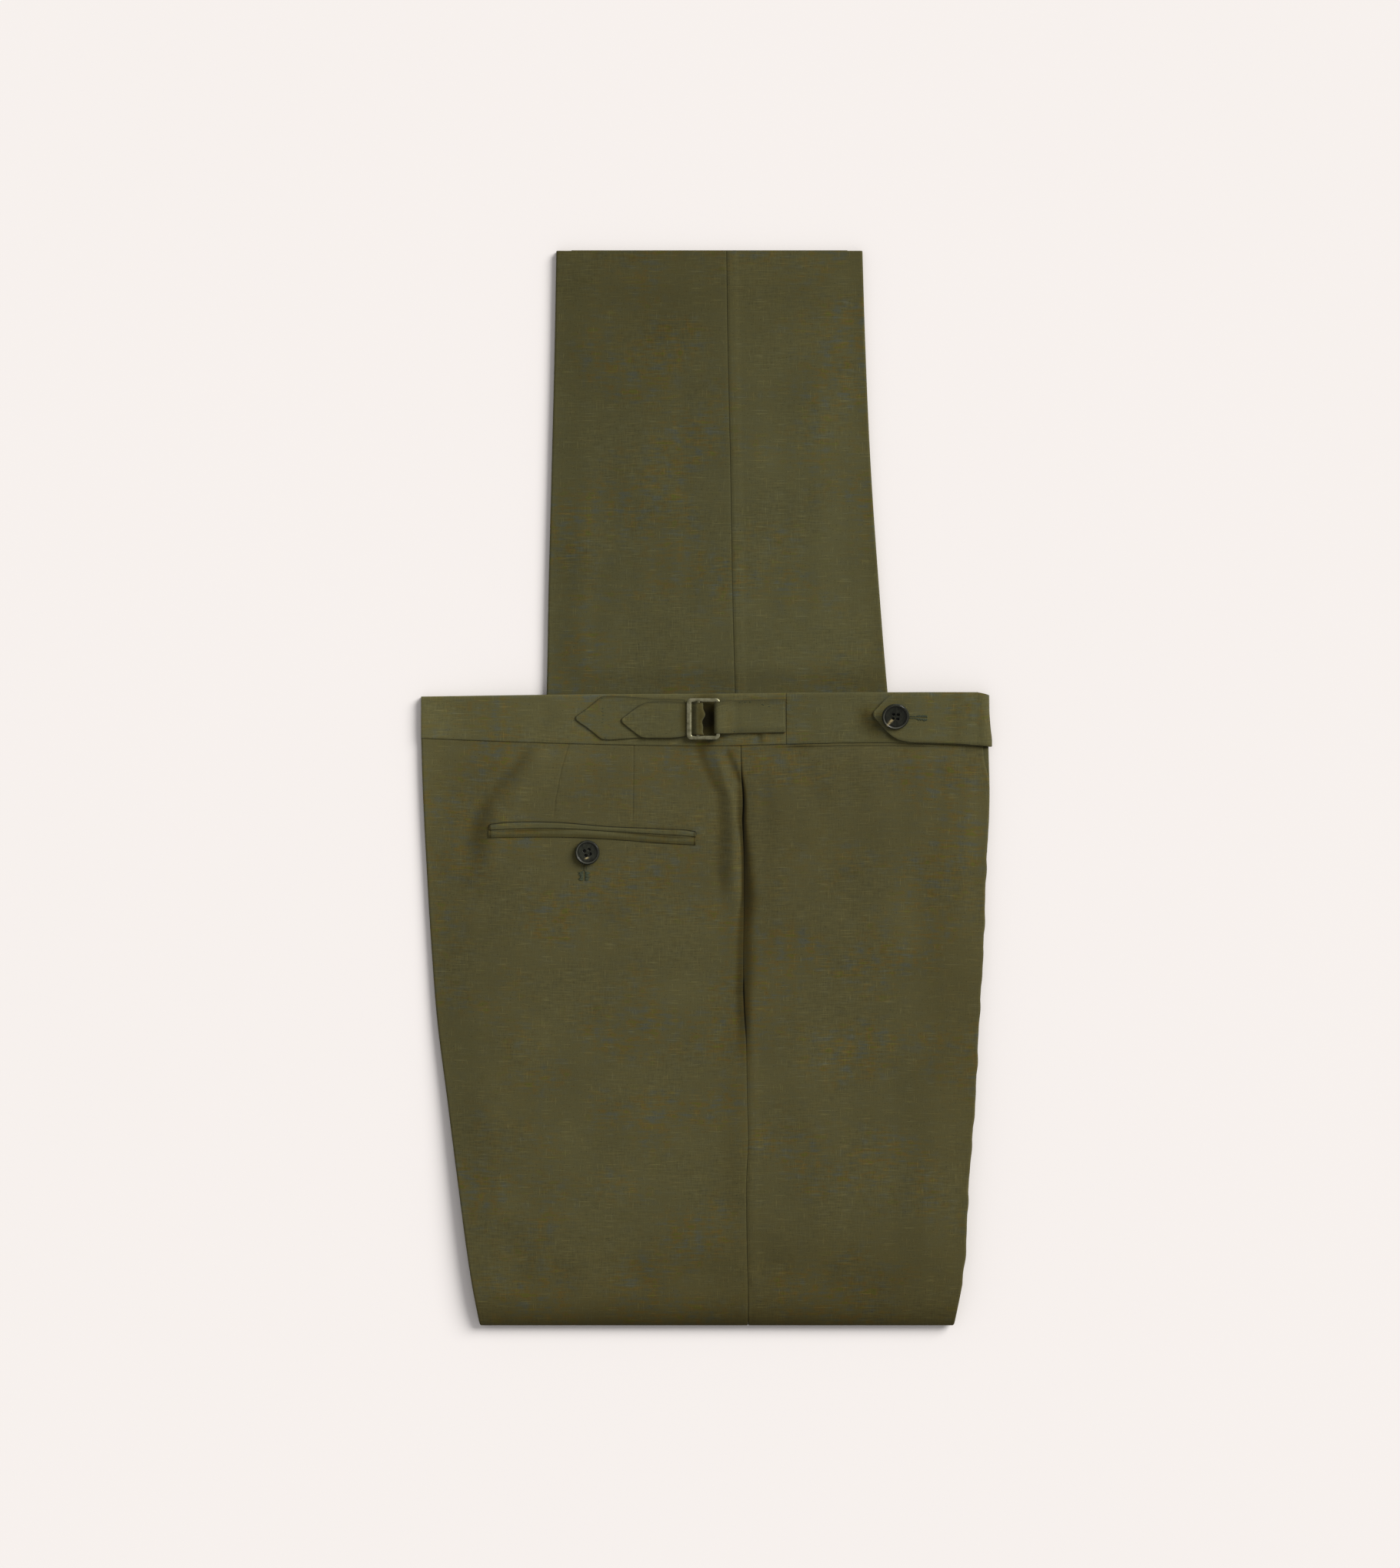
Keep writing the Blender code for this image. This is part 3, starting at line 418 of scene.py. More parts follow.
def laid(zone, value, x, depth):
    """Points at stations along a leg: down the hips by their share of the length, round the cross fold
    by angle, and back along the leg by y. depth counts from the right leg's outer face."""
    hip_y = ROLL_Y + (1.0 - value) * (seam_line(x) - SEAM_GAP - ROLL_Y)
    hip_z = bed(x, hip_y) + STACK - depth
    roll_y = ROLL_Y - (ROLL_LENGTH - ROLL_EASE * depth) * np.cos(value)
    roll_z = ROLL_HEIGHT + (ROLL_HEIGHT - depth) * np.sin(value)
    y = np.where(zone == HIP, hip_y, np.where(zone == ROLL, roll_y, value))
    z = np.where(zone == HIP, hip_z, np.where(zone == ROLL, roll_z, depth))
    return y, z


def leg_stations(hip, roll, leg):
    """Zone, value and how far the hem has turned in, for each row of a panel: millimetres down the
    hips, degrees round the cross fold, millimetres along the leg and half a turn at the hem."""
    turn = np.radians(np.linspace(0.0, 180.0, 9))
    hem = HEM_Y - HEM_TURN * (1 - np.sin(turn))
    leg = np.concatenate([leg, HEM_Y - np.array([6.0, 3.0, 1.4]), hem, HEM_Y - np.array([4.0, 12.0])])
    value = np.concatenate([np.array(hip) / HIP_RUN, np.radians(roll), leg])
    zone = np.concatenate([np.full(len(hip), HIP), np.full(len(roll), ROLL), np.full(len(leg), LEG)])
    inwards = np.zeros(len(value))
    inwards[-11:-2] = HEM_TURN * (1 - np.cos(turn))
    inwards[-2:] = 2 * HEM_TURN
    return zone[:, None], value[:, None], inwards[:, None]


def garment_edges(zone, value):
    """Each station's y, whether it lies on the upper hips, and the garment's edges there by name."""
    roll_y = ROLL_Y - ROLL_LENGTH * np.cos(value)
    y0 = np.where(zone == HIP, HIP_TOP - value * HIP_RUN, np.where(zone == ROLL, roll_y, value))
    on_hip = (zone == HIP) | ((zone == ROLL) & (value > 0))
    edge = {}
    for column in ("back", "side", "front"):
        edge[column] = np.where(on_hip, through(HIPS, "y", column, y0), through(LEGS, "y", column, y0))
    return y0, on_hip, edge


def pleat_share(y0):
    """1 at the waist, and 0 where the pleat has run out."""
    return smooth((y0 - 2.0) / 24.0)


def travelled(a, b):
    """How far each point of a line, or of each row of a grid, lies from the first one along it."""
    steps = np.hypot(np.diff(a), np.diff(b))
    return np.concatenate([np.zeros((*steps.shape[:-1], 1)), np.cumsum(steps, axis=-1)], axis=-1)


def thicken(piece):
    """Gives a sheet the cloth's thickness on its inner side."""
    wall = piece.modifiers.new("cloth", "SOLIDIFY")
    wall.thickness, wall.offset = CLOTH * MM, -1.0


def panel(name, layer, part, stations, shares, colour):
    """One leg panel, from its side seam across to the crease, round it and back under, and from the
    waist round the cross fold to the hem."""
    zone, value, turned = stations
    y0, on_hip, edge = garment_edges(zone, value)
    inward = 1.0 if part == "back" else -1.0
    upper = (zone == HIP) & (layer == "right")
    pleated = upper & (part == "front")
    pleat = np.where(pleated, pleat_share(y0), 0.0)
    slot = {c: np.where(upper, through(SIDE_SLOT, "y", c, y0), 0.0) for c in ("shift", "line", part)}
    gape = smooth((13.0 - y0) / 12.0) * smooth((y0 + 60.0) / 24.0)
    mouth = np.where(pleated, 0.25 * slot["line"] * gape, 0.0)
    crease = edge[part] - PLEAT_SETBACK * pleat
    rumple = 0.28 * np.sin(y0 / 5.3) + 0.2 * np.sin(y0 / 3.1 + 1.0)
    crease = crease + np.where(pleated, rumple * smooth((-y0 - 10.0) / 30.0), 0.0)
    seam = edge["side"] + slot["shift"] - inward * (SEAM_GAP + mouth)
    rim = RIM + (PLEATED_RIM - RIM) * pleat

    flat = seam + (crease + inward * RIM_WIDTH - seam) * shares(seam, crease + inward * RIM_WIDTH, y0)
    near = crease + inward * np.array([8.5, 7.0, 5.6, 4.4, 3.4, 2.6, 2.0])
    angle = np.radians(np.linspace(90.0, -90.0, 11))
    nose = crease + inward * RIM_NOSE * (1.0 - np.cos(angle))
    back = crease + inward * np.array([3.0, 5.5, RIM_WIDTH])
    x = np.concatenate([flat, near, nose, back], axis=1)
    outer, under = np.zeros(flat.shape[1] + 7), np.ones(3)
    depth = np.concatenate([outer, (1.0 - np.sin(angle)) / 2, under]) * rim
    lean_x = np.concatenate([outer, inward * np.cos(angle), under * 0.0])
    lean_depth = np.concatenate([outer + 1.0, np.sin(angle), -under])
    x = x + turned * lean_x
    depth = depth + turned * lean_depth

    from_seam = np.abs(x - seam)
    line = np.where(upper, slot["line"], 0.3)
    tucked = (0.1 + 0.7 * line) * bell(from_seam, 0.35 + 0.2 * line)
    outside = depth < rim / 2
    y, z = laid(zone, value, x, (STACK - depth - tucked) if layer == "left" else depth + tucked)
    # A dark line along the side seam, where the panels are sewn, that deepens into painted shadow along the
    # pocket's mouth.
    stitched = np.where(upper, slot["line"], 0.2) * bell(from_seam, 0.5)
    # On the legs: tone changes in the cloth, and painted shade just above the waistband.
    tone = np.where(zone == LEG, spots(x, y, LEG_TONES), 0.0)
    if layer == "right":
        # On the hips: tone changes with painted shade and shadow, painted shade and highlight along the
        # folds, and painted shade beside the pocket's mouth.
        tone = spots(x, y, HIP_TONES) + folds(x, y, HIP_SHADES) * (1.0 if part == "back" else 0.4)
        reach = through(SIDE_SLOT, "y", part + "_reach", y0)
        tone = tone - slot[part] * np.exp(-((from_seam / reach) ** (3.0 if part == "front" else 4.0)))
        tone = np.where(on_hip, tone, 0.0)
        z = z + np.where(zone == HIP, hip_lift(x, y, part), 0.0)
        waist = bell(seam_line(x) - SEAM_GAP - y, 0.7)
        z = z - np.where((zone == HIP) & outside, SEAM_DIP * waist, 0.0)
        if part == "back":
            darts = np.where(zone == HIP, dart_marks(x, y), 0.0)
            slit = bell(y - through(POCKET_SLIT, "x", "y", x), 1.5)
            slit = slit * smooth((x + 153) / 3.0) * smooth((-8 - x) / 3.0)
            z = z - np.where(zone == HIP, DART_DIP * darts - SLIT_RIDGE * slit, 0.0)
            stitched = np.maximum(stitched, 0.17 * darts)
        else:
            reach = smooth((x - 55.0) / 2.0) * smooth((168.0 - x) / 20.0)
            second = np.where((zone == HIP) & outside, bell(seam_line(x) - y - 2.1, 0.3) * reach, 0.0)
            z = z - 0.3 * second
            stitched = np.maximum(stitched, 0.5 * second)
    else:
        z = z + np.where(zone == LEG, leg_lift(x, y), 0.0)
    if part == "front":
        allowance = smooth((from_seam - 0.6) / 1.6) * smooth((SEAM_ALLOWANCE - from_seam) / 4.0)
        on_leg = np.where((zone == LEG) & (layer == "left"), 1.0, 0.0)
        shown = np.where(zone == HIP, smooth((-150.0 - y) / 40.0), on_leg)
        z = z + 0.34 * allowance * shown * (zone != ROLL)

    across = travelled(x, depth)
    middle = flat.shape[1] // 2
    along = travelled(y[:, middle], z[:, middle])
    uv = np.stack([seam - inward * across, np.broadcast_to(30.0 - along[:, None], x.shape)], axis=-1)
    from_crease = np.abs(x - crease)
    # Paler beside the side seam as a painted highlight, where the pressed allowance would catch the light,
    # and paler at the crease, where the cloth is worn.
    worn = np.maximum(0.7 * np.exp(-np.abs(from_seam - 1.2) / 0.9), 0.3 * np.exp(-from_crease / 1.3))
    flipped = (layer == "left") != (part == "front")
    marks = {"worn": worn, "stitched": stitched, "tone": tone}
    piece = surface(name + "_cloth", np.stack([x, y, z], axis=-1), uv=uv, flipped=flipped, **marks)
    thicken(piece)
    piece.data.materials.append(linen(name + "_linen", colour))
    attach(piece, "root")
    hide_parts(name)


def bump(tree, height, strength, depth):
    """A normal raised by a height, at most depth millimetres."""
    relief = {"Height": height, "Strength": strength, "Distance": depth * MM}
    return node(tree, "Bump", None, relief).outputs[0]


def colour_ramp(tree, value, *stops):
    """A value's colour on a ramp through stops of (place, colour)."""
    made = node(tree, "ValToRGB", None, {0: value})
    first, *between, last = stops
    elements = made.color_ramp.elements
    for element, (place, colour) in zip(elements, (first, last)):
        element.position = place
        element.color = (*colour, 1.0)
    for place, colour in between:
        elements.new(place).color = (*colour, 1.0)
    return made.outputs[0]


WEAVE_PITCH = 0.8


def linen_weave():
    """Slubbed linen worked out from the cloth's own UV in metres. Threads are stretched noise, long and
    fine across and down. The thick slubs are its highest values, and soft tints of slate, ochre and
    moss come from wider noise. Height adds the weave, a product of two sines, one wave to a pitch."""
    group = bpy.data.node_groups.new("Linen weave", "ShaderNodeTree")
    for name, kind, value in (
        ("Cloth", "NodeSocketVector", None),
        ("Dye", "NodeSocketColor", (0.08, 0.07, 0.03, 1.0)),
        ("Tints", "NodeSocketFloat", 1.0),
        ("Worn", "NodeSocketFloat", 0.0),
        ("Stitched", "NodeSocketFloat", 0.0),
        ("Tone", "NodeSocketFloat", 0.0),
    ):
        socket = group.interface.new_socket(name, in_out="INPUT", socket_type=kind)
        if value is not None:
            socket.default_value = value
    for name, kind in (("Colour", "Color"), ("Roughness", "Float"), ("Height", "Float")):
        group.interface.new_socket(name, in_out="OUTPUT", socket_type="NodeSocket" + kind)
    given = group.nodes.new("NodeGroupInput").outputs
    result = group.nodes.new("NodeGroupOutput").inputs
    mm = node(group, "VectorMath", {"operation": "SCALE"}, {0: given["Cloth"], "Scale": 1000.0}).outputs[0]

    def noise(across, down, detail, shift=0.0):
        """Noise whose cells are so many millimetres wide and high."""
        scaled = {0: mm, 1: (1 / across, 1 / down, 0), 2: (shift, shift, shift)}
        place = node(group, "VectorMath", {"operation": "MULTIPLY_ADD"}, scaled)
        inputs = {"Vector": place.outputs[0], "Scale": 1.0, "Detail": detail, "Roughness": 0.55}
        return node(group, "TexNoise", {"noise_dimensions": "2D"}, inputs).outputs["Fac"]

    def between(value, low, high, bottom=0.0, top=1.0):
        """value from low..high made bottom..top."""
        inputs = {0: value, 1: low, 2: high, 3: bottom, 4: top}
        return node(group, "MapRange", None, inputs).outputs[0]

    def calc(operation, a, b=0.0, c=0.0):
        """A sum or product of up to three values."""
        return node(group, "Math", {"operation": operation}, {0: a, 1: b, 2: c}).outputs[0]

    def times(one, other):
        """One colour multiplied by another."""
        return node(group, "VectorMath", {"operation": "MULTIPLY"}, {0: one, 1: other}).outputs[0]

    weft, warp = noise(9.0, 0.95, 1.0), noise(0.95, 8.0, 1.0, 31.0)
    weft_slubs = between(noise(15.0, 0.75, 0.0, 57.0), 0.75, 0.84)
    warp_slubs = between(noise(0.75, 9.0, 0.0, 83.0), 0.79, 0.87)
    slubs = calc("MAXIMUM", weft_slubs, warp_slubs)
    nubs = between(noise(1.0, 0.8, 0.0, 11.0), 0.8, 0.86)
    specks = between(noise(1.3, 0.8, 0.0, 19.0), 0.21, 0.15)
    patches = noise(52.0, 38.0, 2.0, 7.0)
    coarse = between(noise(62.0, 50.0, 1.0, 29.0), 0.4, 0.6, 0.35, 1.3)
    threads = calc("MULTIPLY_ADD", weft, 0.36, calc("MULTIPLY_ADD", warp, 0.24, -0.3))
    light = calc("MULTIPLY_ADD", threads, coarse, calc("MULTIPLY_ADD", patches, 0.22, 0.89))
    light = calc("MULTIPLY_ADD", slubs, 0.3, light)
    light = calc("MULTIPLY_ADD", nubs, 0.25, light)
    light = calc("MULTIPLY_ADD", specks, -0.3, light)
    # The worn mark makes the cloth paler, for wear and as painted highlight.
    light = calc("MULTIPLY_ADD", given["Worn"], 0.1, light)
    # The stitched mark darkens the cloth along seams, and paints shade along edges and in the pocket's
    # mouth.
    light = calc("MULTIPLY", light, calc("MULTIPLY_ADD", given["Stitched"], -0.66, 1.0))
    # The tone mark makes the cloth darker or lighter, for its own tone and as painted shade and shadow.
    light = calc("MULTIPLY", light, calc("ADD", given["Tone"], 1.0))
    blotches = calc("MULTIPLY_ADD", noise(8.0, 9.0, 1.0, 61.0), 0.75, -0.25)
    streaks = calc("MULTIPLY_ADD", noise(15.0, 2.4, 1.0, 3.0), 0.75, blotches)
    tint = colour_ramp(
        group,
        streaks,
        (0.24, (0.84, 0.99, 1.7)),
        (0.44, (1.0, 1.0, 1.0)),
        (0.54, (1.0, 1.0, 1.0)),
        (0.68, (1.22, 0.96, 0.64)),
        (0.78, (1.0, 1.08, 0.5)),
    )
    patchy = between(noise(66.0, 48.0, 1.0, 41.0), 0.42, 0.64, 0.12, 0.85)
    strength = calc("MULTIPLY", patchy, given["Tints"])
    white = (1.0, 1.0, 1.0, 1.0)
    dyed = times(given["Dye"], mix(group, strength, white, tint))
    # Where the tone mark paints shade, the dye turns warmer too, a painted warm shadow colour.
    shaded = between(given["Tone"], 0.0, -0.7)
    dyed = times(dyed, mix(group, shaded, white, (1.11, 0.95, 0.5, 1.0)))
    colour = node(group, "VectorMath", {"operation": "SCALE"}, {0: dyed, "Scale": light}).outputs[0]
    group.links.new(colour, result["Colour"])

    axes = node(group, "SeparateXYZ", None, {0: mm}).outputs
    waves = [calc("SINE", calc("MULTIPLY", axes[k], 2 * math.pi / WEAVE_PITCH)) for k in (0, 1)]
    weave = calc("MULTIPLY", calc("MULTIPLY", *waves), 0.12)
    threads = calc("ADD", calc("MULTIPLY", weft, 0.6), calc("MULTIPLY", warp, 0.5))
    height = calc("ADD", calc("ADD", weave, threads), calc("MULTIPLY", slubs, 0.5))
    crumple = calc("MULTIPLY", noise(14.0, 11.0, 2.0, 43.0), 3.0)
    group.links.new(calc("ADD", height, crumple), result["Height"])
    group.links.new(calc("MULTIPLY_ADD", weft, 0.16, 0.78), result["Roughness"])
    return group


weave_group = linen_weave()


def linen(name, dye, tints=1.0):
    """A linen finish: the weave group's colour, roughness and height, with a faint sheen."""
    made, tree, shader = new_material(name)
    cloth = node(tree, "UVMap", {"uv_map": "cloth"}).outputs[0]
    weave = tree.nodes.new("ShaderNodeGroup")
    weave.node_tree = weave_group
    tree.links.new(cloth, weave.inputs["Cloth"])
    for mark in ("worn", "stitched", "tone"):
        attribute = node(tree, "Attribute", {"attribute_name": mark})
        tree.links.new(attribute.outputs["Fac"], weave.inputs[mark.capitalize()])
    weave.inputs["Dye"].default_value = (*dye, 1.0)
    weave.inputs["Tints"].default_value = tints
    finish = {
        "Base Color": weave.outputs["Colour"],
        "Roughness": weave.outputs["Roughness"],
        "Normal": bump(tree, weave.outputs["Height"], 0.5, 0.07),
        "Specular IOR Level": 0.1,
        "Sheen Weight": 0.05,
        "Sheen Roughness": 0.5,
    }
    feed(tree, shader, finish)
    return made


SEAM_SIDE = np.array([0.0, 0.12, 0.3, 0.55, 0.85, 1.25, 1.8, 2.5, 3.4])  # the mesh's lines beside a seam


def even_shares(step, width):
    """Lines close together at the seam, and then one each step, as shares of the panel's width."""
    lines = np.concatenate([SEAM_SIDE, np.arange(4.6, width - 0.7 * step, step), [width]]) / width
    return lambda seam, start, y0: lines[None, :]


def dart_shares(step, width):
    """As even_shares, but the lines bend so that one runs down each dart with close ones beside it."""
    beside = np.array([-1.4, -0.9, -0.55, -0.27, 0.0, 0.27, 0.55, 0.9, 1.4])
    marks = [(HIPS["side"][0] - line[0][0]) / width for line in reversed(DARTS)]
    even = np.concatenate([SEAM_SIDE, np.arange(4.6, width - 0.7 * step, step), [width]])
    for mark in marks:
        even = np.concatenate([even[np.abs(even - mark * width) > 1.9], mark * width + beside])
    lines = np.sort(even) / width

    def bent(seam, start, y0):
        """Each row's shares: straight between the seam, the darts and the crease."""
        knots = [np.zeros(y0.shape)]
        sewn = smooth((y0 + 110.0) / 80.0)
        for line, mark in zip(reversed(DARTS), marks):
            px, py = np.array(line).T
            knots.append(mark + ((seam - np.interp(-y0, -py, px)) / (seam - start) - mark) * sewn)
        knots.append(np.ones(y0.shape))
        at = [0.0, *marks, 1.0]
        shares = np.zeros((len(y0), len(lines)))
        for k in range(3):
            t = (lines - at[k]) / (at[k + 1] - at[k])
            inside = (lines >= at[k]) & (lines <= at[k + 1])
            shares = np.where(inside[None, :], knots[k] + (knots[k + 1] - knots[k]) * t[None, :], shares)
        return shares

    return bent


waist_rows = [0.0, 0.2, 0.45, 0.8, 1.2, 1.7]
right_back_rows = leg_stations(
    [*waist_rows, *np.arange(2.4, 80, 1.25), *np.arange(80, 381, 2.3)],
    [*np.arange(84, -85, -7), -90],
    np.arange(-335, 365, 28),
)
right_front_rows = leg_stations(
    [*waist_rows, 1.85, 2.0, 2.15, 2.35, 2.8, *np.arange(3.8, 50, 1.6), *np.arange(50, 381, 2.3)],
    [*np.arange(84, -85, -7), -90],
    np.arange(-335, 365, 28),
)
left_rows = leg_stations(
    np.arange(0, 380, 20),
    [*np.arange(78, -80, -12), -90],
    [*np.arange(-335, 50, 24), *np.arange(54, 370, 2.2)],
)
BACK_WIDTH, FRONT_WIDTH = 214.6, 160.0  # from the side seam to where the crease begins to turn
DYE = (0.0735, 0.0685, 0.0278)


def shade(factor, warm=1.0):
    """The cloth's dye, so much lighter and warmer in one panel than in the next; the lightness is in part
    painted light, for how much light each piece catches.
    """
    return tuple(value * factor * w for value, w in zip(DYE, (warm, 1.0, 2.0 - warm)))


even_back, even_front = even_shares(1.8, BACK_WIDTH), even_shares(1.8, FRONT_WIDTH)
panel("right_back_panel", "right", "back", right_back_rows, dart_shares(1.55, BACK_WIDTH), shade(0.97, 1.04))
panel("right_front_panel", "right", "front", right_front_rows, even_front, shade(0.95, 1.045))
panel("left_back_panel", "left", "back", left_rows, even_back, shade(0.96))
panel("left_front_panel", "left", "front", left_rows, even_front, shade(1.04))


# ---- Inner leg cloth -----------------------------------------------------------------------------------
# The inner halves of both legs, which lie between the outer panels. Only their turned-up hems show, and
# a strip inside the side pocket, where they stand in for its bag and are darkened almost to black as
# painted shadow.
zone, value, turned = leg_stations(
    [*np.arange(0, 200, 6), *np.arange(200, 380, 20)],
    [*np.arange(78, -80, -12), -90],
    np.arange(-335, 370, 24),
)
_, _, edge = garment_edges(zone, value)
starts, ends = edge["back"] + RIM_WIDTH + 0.6, edge["front"] - RIM_WIDTH - 0.6
pocket_lines = np.arange(-5.0, 9.1, 1.0)
INNER_DYE = (0.055, 0.05, 0.022)
for side_name, near, into in (("right", 1.5, 1.0), ("left", 3.5, -1.0)):
    share = np.linspace(0.0, 1.0, 26)
    x = np.concatenate(
        [
            starts + (edge["side"] - 6.0 - starts) * share,
            edge["side"] + pocket_lines,
            edge["side"] + 10.0 + (ends - edge["side"] - 10.0) * share,
        ],
        axis=1,
    )
    depth = near + into * turned + np.zeros(x.shape)
    y, z = laid(zone, value, x, depth)
    tone = np.zeros(x.shape)
    if side_name == "right":
        bag = smooth((12.0 - y) / 10.0) * smooth((y + 180.0) / 30.0)
        bag = bag * bell(x - edge["side"] - 1.5, 3.2)
        z = z - np.where(zone == HIP, 0.95 * bag, 0.0)
        # Painted shadow: inside the pocket's mouth the strip goes almost black.
        tone = -0.9 * np.where(zone == HIP, bag, 0.0)
    along = travelled(y[:, 20], z[:, 20])
    uv = np.stack([x, np.broadcast_to(-along[:, None], x.shape)], axis=-1)
    points = np.stack([x, y, z], axis=-1)
    marks = {"worn": 0.0, "stitched": 0.0, "tone": tone}
    piece = surface(f"{side_name}_inner_cloth", points, uv=uv, flipped=side_name == "left", **marks)
    thicken(piece)
    piece.data.materials.append(linen(f"{side_name}_inner_linen", INNER_DYE, 0.6))
    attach(piece, "root")
    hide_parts("inner_layers")

# ---- Pleat ---------------------------------------------------------------------------------------------
# One forward pleat beside the front crease. Its upper fold is the front panel's own edge, set back at
# the waist. This is the cloth beneath, which the pleat's fold runs out on to.
down = np.concatenate([[0.0, 0.4, 1.0, 1.8], np.arange(3.0, 76.0, 2.0)])[:, None] / HIP_RUN
y0 = HIP_TOP - down * HIP_RUN
front = through(HIPS, "y", "front", y0)
inner_edge = front - PLEAT_SETBACK * pleat_share(y0) - RIM_WIDTH + 1.0
turn = np.radians(np.linspace(90.0, -90.0, 9))
flat = inner_edge + (front - 1.0 - inner_edge) * np.linspace(0.0, 1.0, 9)
x = np.concatenate([flat, front - 1.0 + np.cos(turn), flat[:, ::-1]], axis=1)
depth = np.concatenate([np.full(9, 1.3), 1.82 - 0.52 * np.sin(turn), np.full(9, 2.34)])
y, z = laid(HIP, down, x, depth)
z = z + hip_lift(x, y, "front") - 0.7 * bell(seam_line(x) - SEAM_GAP - y, 0.7)
uv = np.stack([np.concatenate([x, x[:, :1]], axis=1), np.concatenate([y, y[:, :1]], axis=1)], axis=-1)
points = np.stack([x, y, z], axis=-1)
marks = {"worn": 0.3, "stitched": 0.0, "tone": 0.0}
pleat = surface("pleat_cloth", points, uv=uv, around=True, capped=True, **marks)
pleat.data.materials.append(linen("pleat_linen", shade(0.94)))
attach(pleat, "root")
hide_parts("pleat_fold")

# ---- Waistband -----------------------------------------------------------------------------------------
# A straight band of linen folded over a stiff canvas, cut in two pieces on the right, with a seam at
# the side adjuster, and whole on the left beneath. It stands half a millimetre above the panels.
BAND_PROUD, BAND_END, BAND_SEAM_X, BAND_FRONT, EXTENSION_SEAM = 0.5, 200.3, 56.0, 191.0, 185.0
BAND_FOLDS = (
    (-0.5, (38.5, 26, 1.5), (37.2, 36, 1.8), (37.8, 44, 1.6)),
    (0.3, (42, 26, 2.5), (42, 40, 2.5), (41, 50, 2)),
    (-0.35, (-180, 60, 5), (-172, 50, 6), (-170, 36, 5)),
    (0.3, (-150, 62, 7), (-144, 48, 8), (-146, 34, 6)),
    (-0.3, (-118, 66, 5), (-112, 50, 6), (-116, 34, 5)),
    (-0.4, (-3, 28, 4), (-4, 34, 5), (-6, 40, 4)),
    (0.3, (78, 62, 6), (82, 48, 7), (80, 34, 6)),
    (-0.3, (100, 62, 5), (104, 46, 6), (101, 34, 5)),
)
# Painted shadow in the buckle's window and beside the extension's tip, painted shade in a small trough, and
# a lighter tone at the left.
BAND_TONES = (
    (-0.8, -2.5, 48.5, 5.0, 14.0),
    (-0.8, 4.0, 48.5, 5.0, 14.0),
    (-0.42, 112.0, 50.0, 4.6, 7.0),
    (-0.3, 117.0, 43.0, 5.0, 5.0),
    (-0.2, 126.0, 36.0, 8.0, 4.0),
    (-0.3, 37.8, 36.0, 2.4, 6.0),
    (0.05, -170.0, 50.0, 50.0, 30.0),
)


def rounded_loop(faces, backs, radius):
    """The way round a flat strip, from one edge over its face to the other and back beneath. Each point
    is low + near + share (high - low), and rise is 1 on the face, -1 beneath and a sine at the edges."""
    turn = np.radians(np.linspace(-90.0, 90.0, 9))
    share = np.linspace(0.0, 1.0, faces)
    back = np.linspace(1.0, 0.0, backs)
    near = [radius * (1 - np.cos(turn[:-1])), radius * (1 - 2 * share)]
    near += [-radius * (1 - np.cos(turn[-2::-1])), radius * (1 - 2 * back[1:-1])]
    shares = [np.zeros(8), share, np.ones(8), back[1:-1]]
    rise = [np.sin(turn[:-1]), np.ones(faces), np.sin(turn[-2::-1]), -np.ones(backs - 2)]
    return np.concatenate(near), np.concatenate(shares), np.concatenate(rise)


def wrapped(along, loop_y, loop_z):
    """UV for a loop carried along a strip: along it, and round it by the length of each step."""
    closed_y, closed_z = (np.concatenate([v, v[:, :1]], axis=1) for v in (loop_y, loop_z))
    around = travelled(closed_y, closed_z)
    return np.stack([np.broadcast_to(along, around.shape), around + loop_y[:, :1]], axis=-1)


def blunted(distance, radius, least=0.2):
    """How much of a strip's thickness is left so far from its end, a quarter of an ellipse."""
    t = 1.0 - np.clip(distance / radius, 0.0, 1.0)
    return np.sqrt(1.0 - (1.0 - least * least) * t * t)


def waistband(name, node_name, start, stop, outer, inner, step, colour):
    """A flat tube of folded cloth, its loop carried along x between the seam and the top edge."""
    ends = np.array([0.0, 0.15, 0.4, 0.8, 1.3])
    x = np.concatenate([start + ends, np.arange(start + 2.2, stop - 2.0, step), stop - ends[::-1]])[:, None]
    near, share, rise = rounded_loop(20, 5, 0.8)
    low, high = seam_line(x) - 0.12, through(WAIST, "x", "top", x)
    y = low + near + share * (high - low)
    half = (inner - outer) / 2 * np.minimum(blunted(x - start, 0.6, 0.72), blunted(stop - x, 0.6, 0.72))
    depth = (outer + inner) / 2 - half * rise
    z = bed(x, y) + STACK - depth
    if outer < inner:
        ripple = 0.07 * np.sin(x / 3.1 + 0.7 * np.sin(x / 9.0)) * bell(y - low, 5.0)
        free = smooth((y - low) / 4.0) * smooth((high - y) / 3.0) * (rise > 0.5)
        z = z + (folds(x, y, BAND_FOLDS) + 0.25 * np.sin(np.pi * share)) * free + ripple * (rise > 0.5)
    worn = np.maximum(bell(y - high, 1.2), bell(y - low, 0.9) * 0.6)
    # The band's face takes the hips' spots and its own: tone changes with painted shade and shadow.
    tone = spots(x, y, (*HIP_TONES, *BAND_TONES)) if outer < inner else 0.0
    grid = np.stack([x + 0 * y, y, z], axis=-1)
    uv = wrapped(x, y, z)
    piece = surface(name, grid, uv=uv, around=True, capped=True, worn=worn, stitched=0.0, tone=tone)
    piece.data.materials.append(linen(name + "_linen", colour))
    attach(piece, "root")
    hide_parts(node_name)


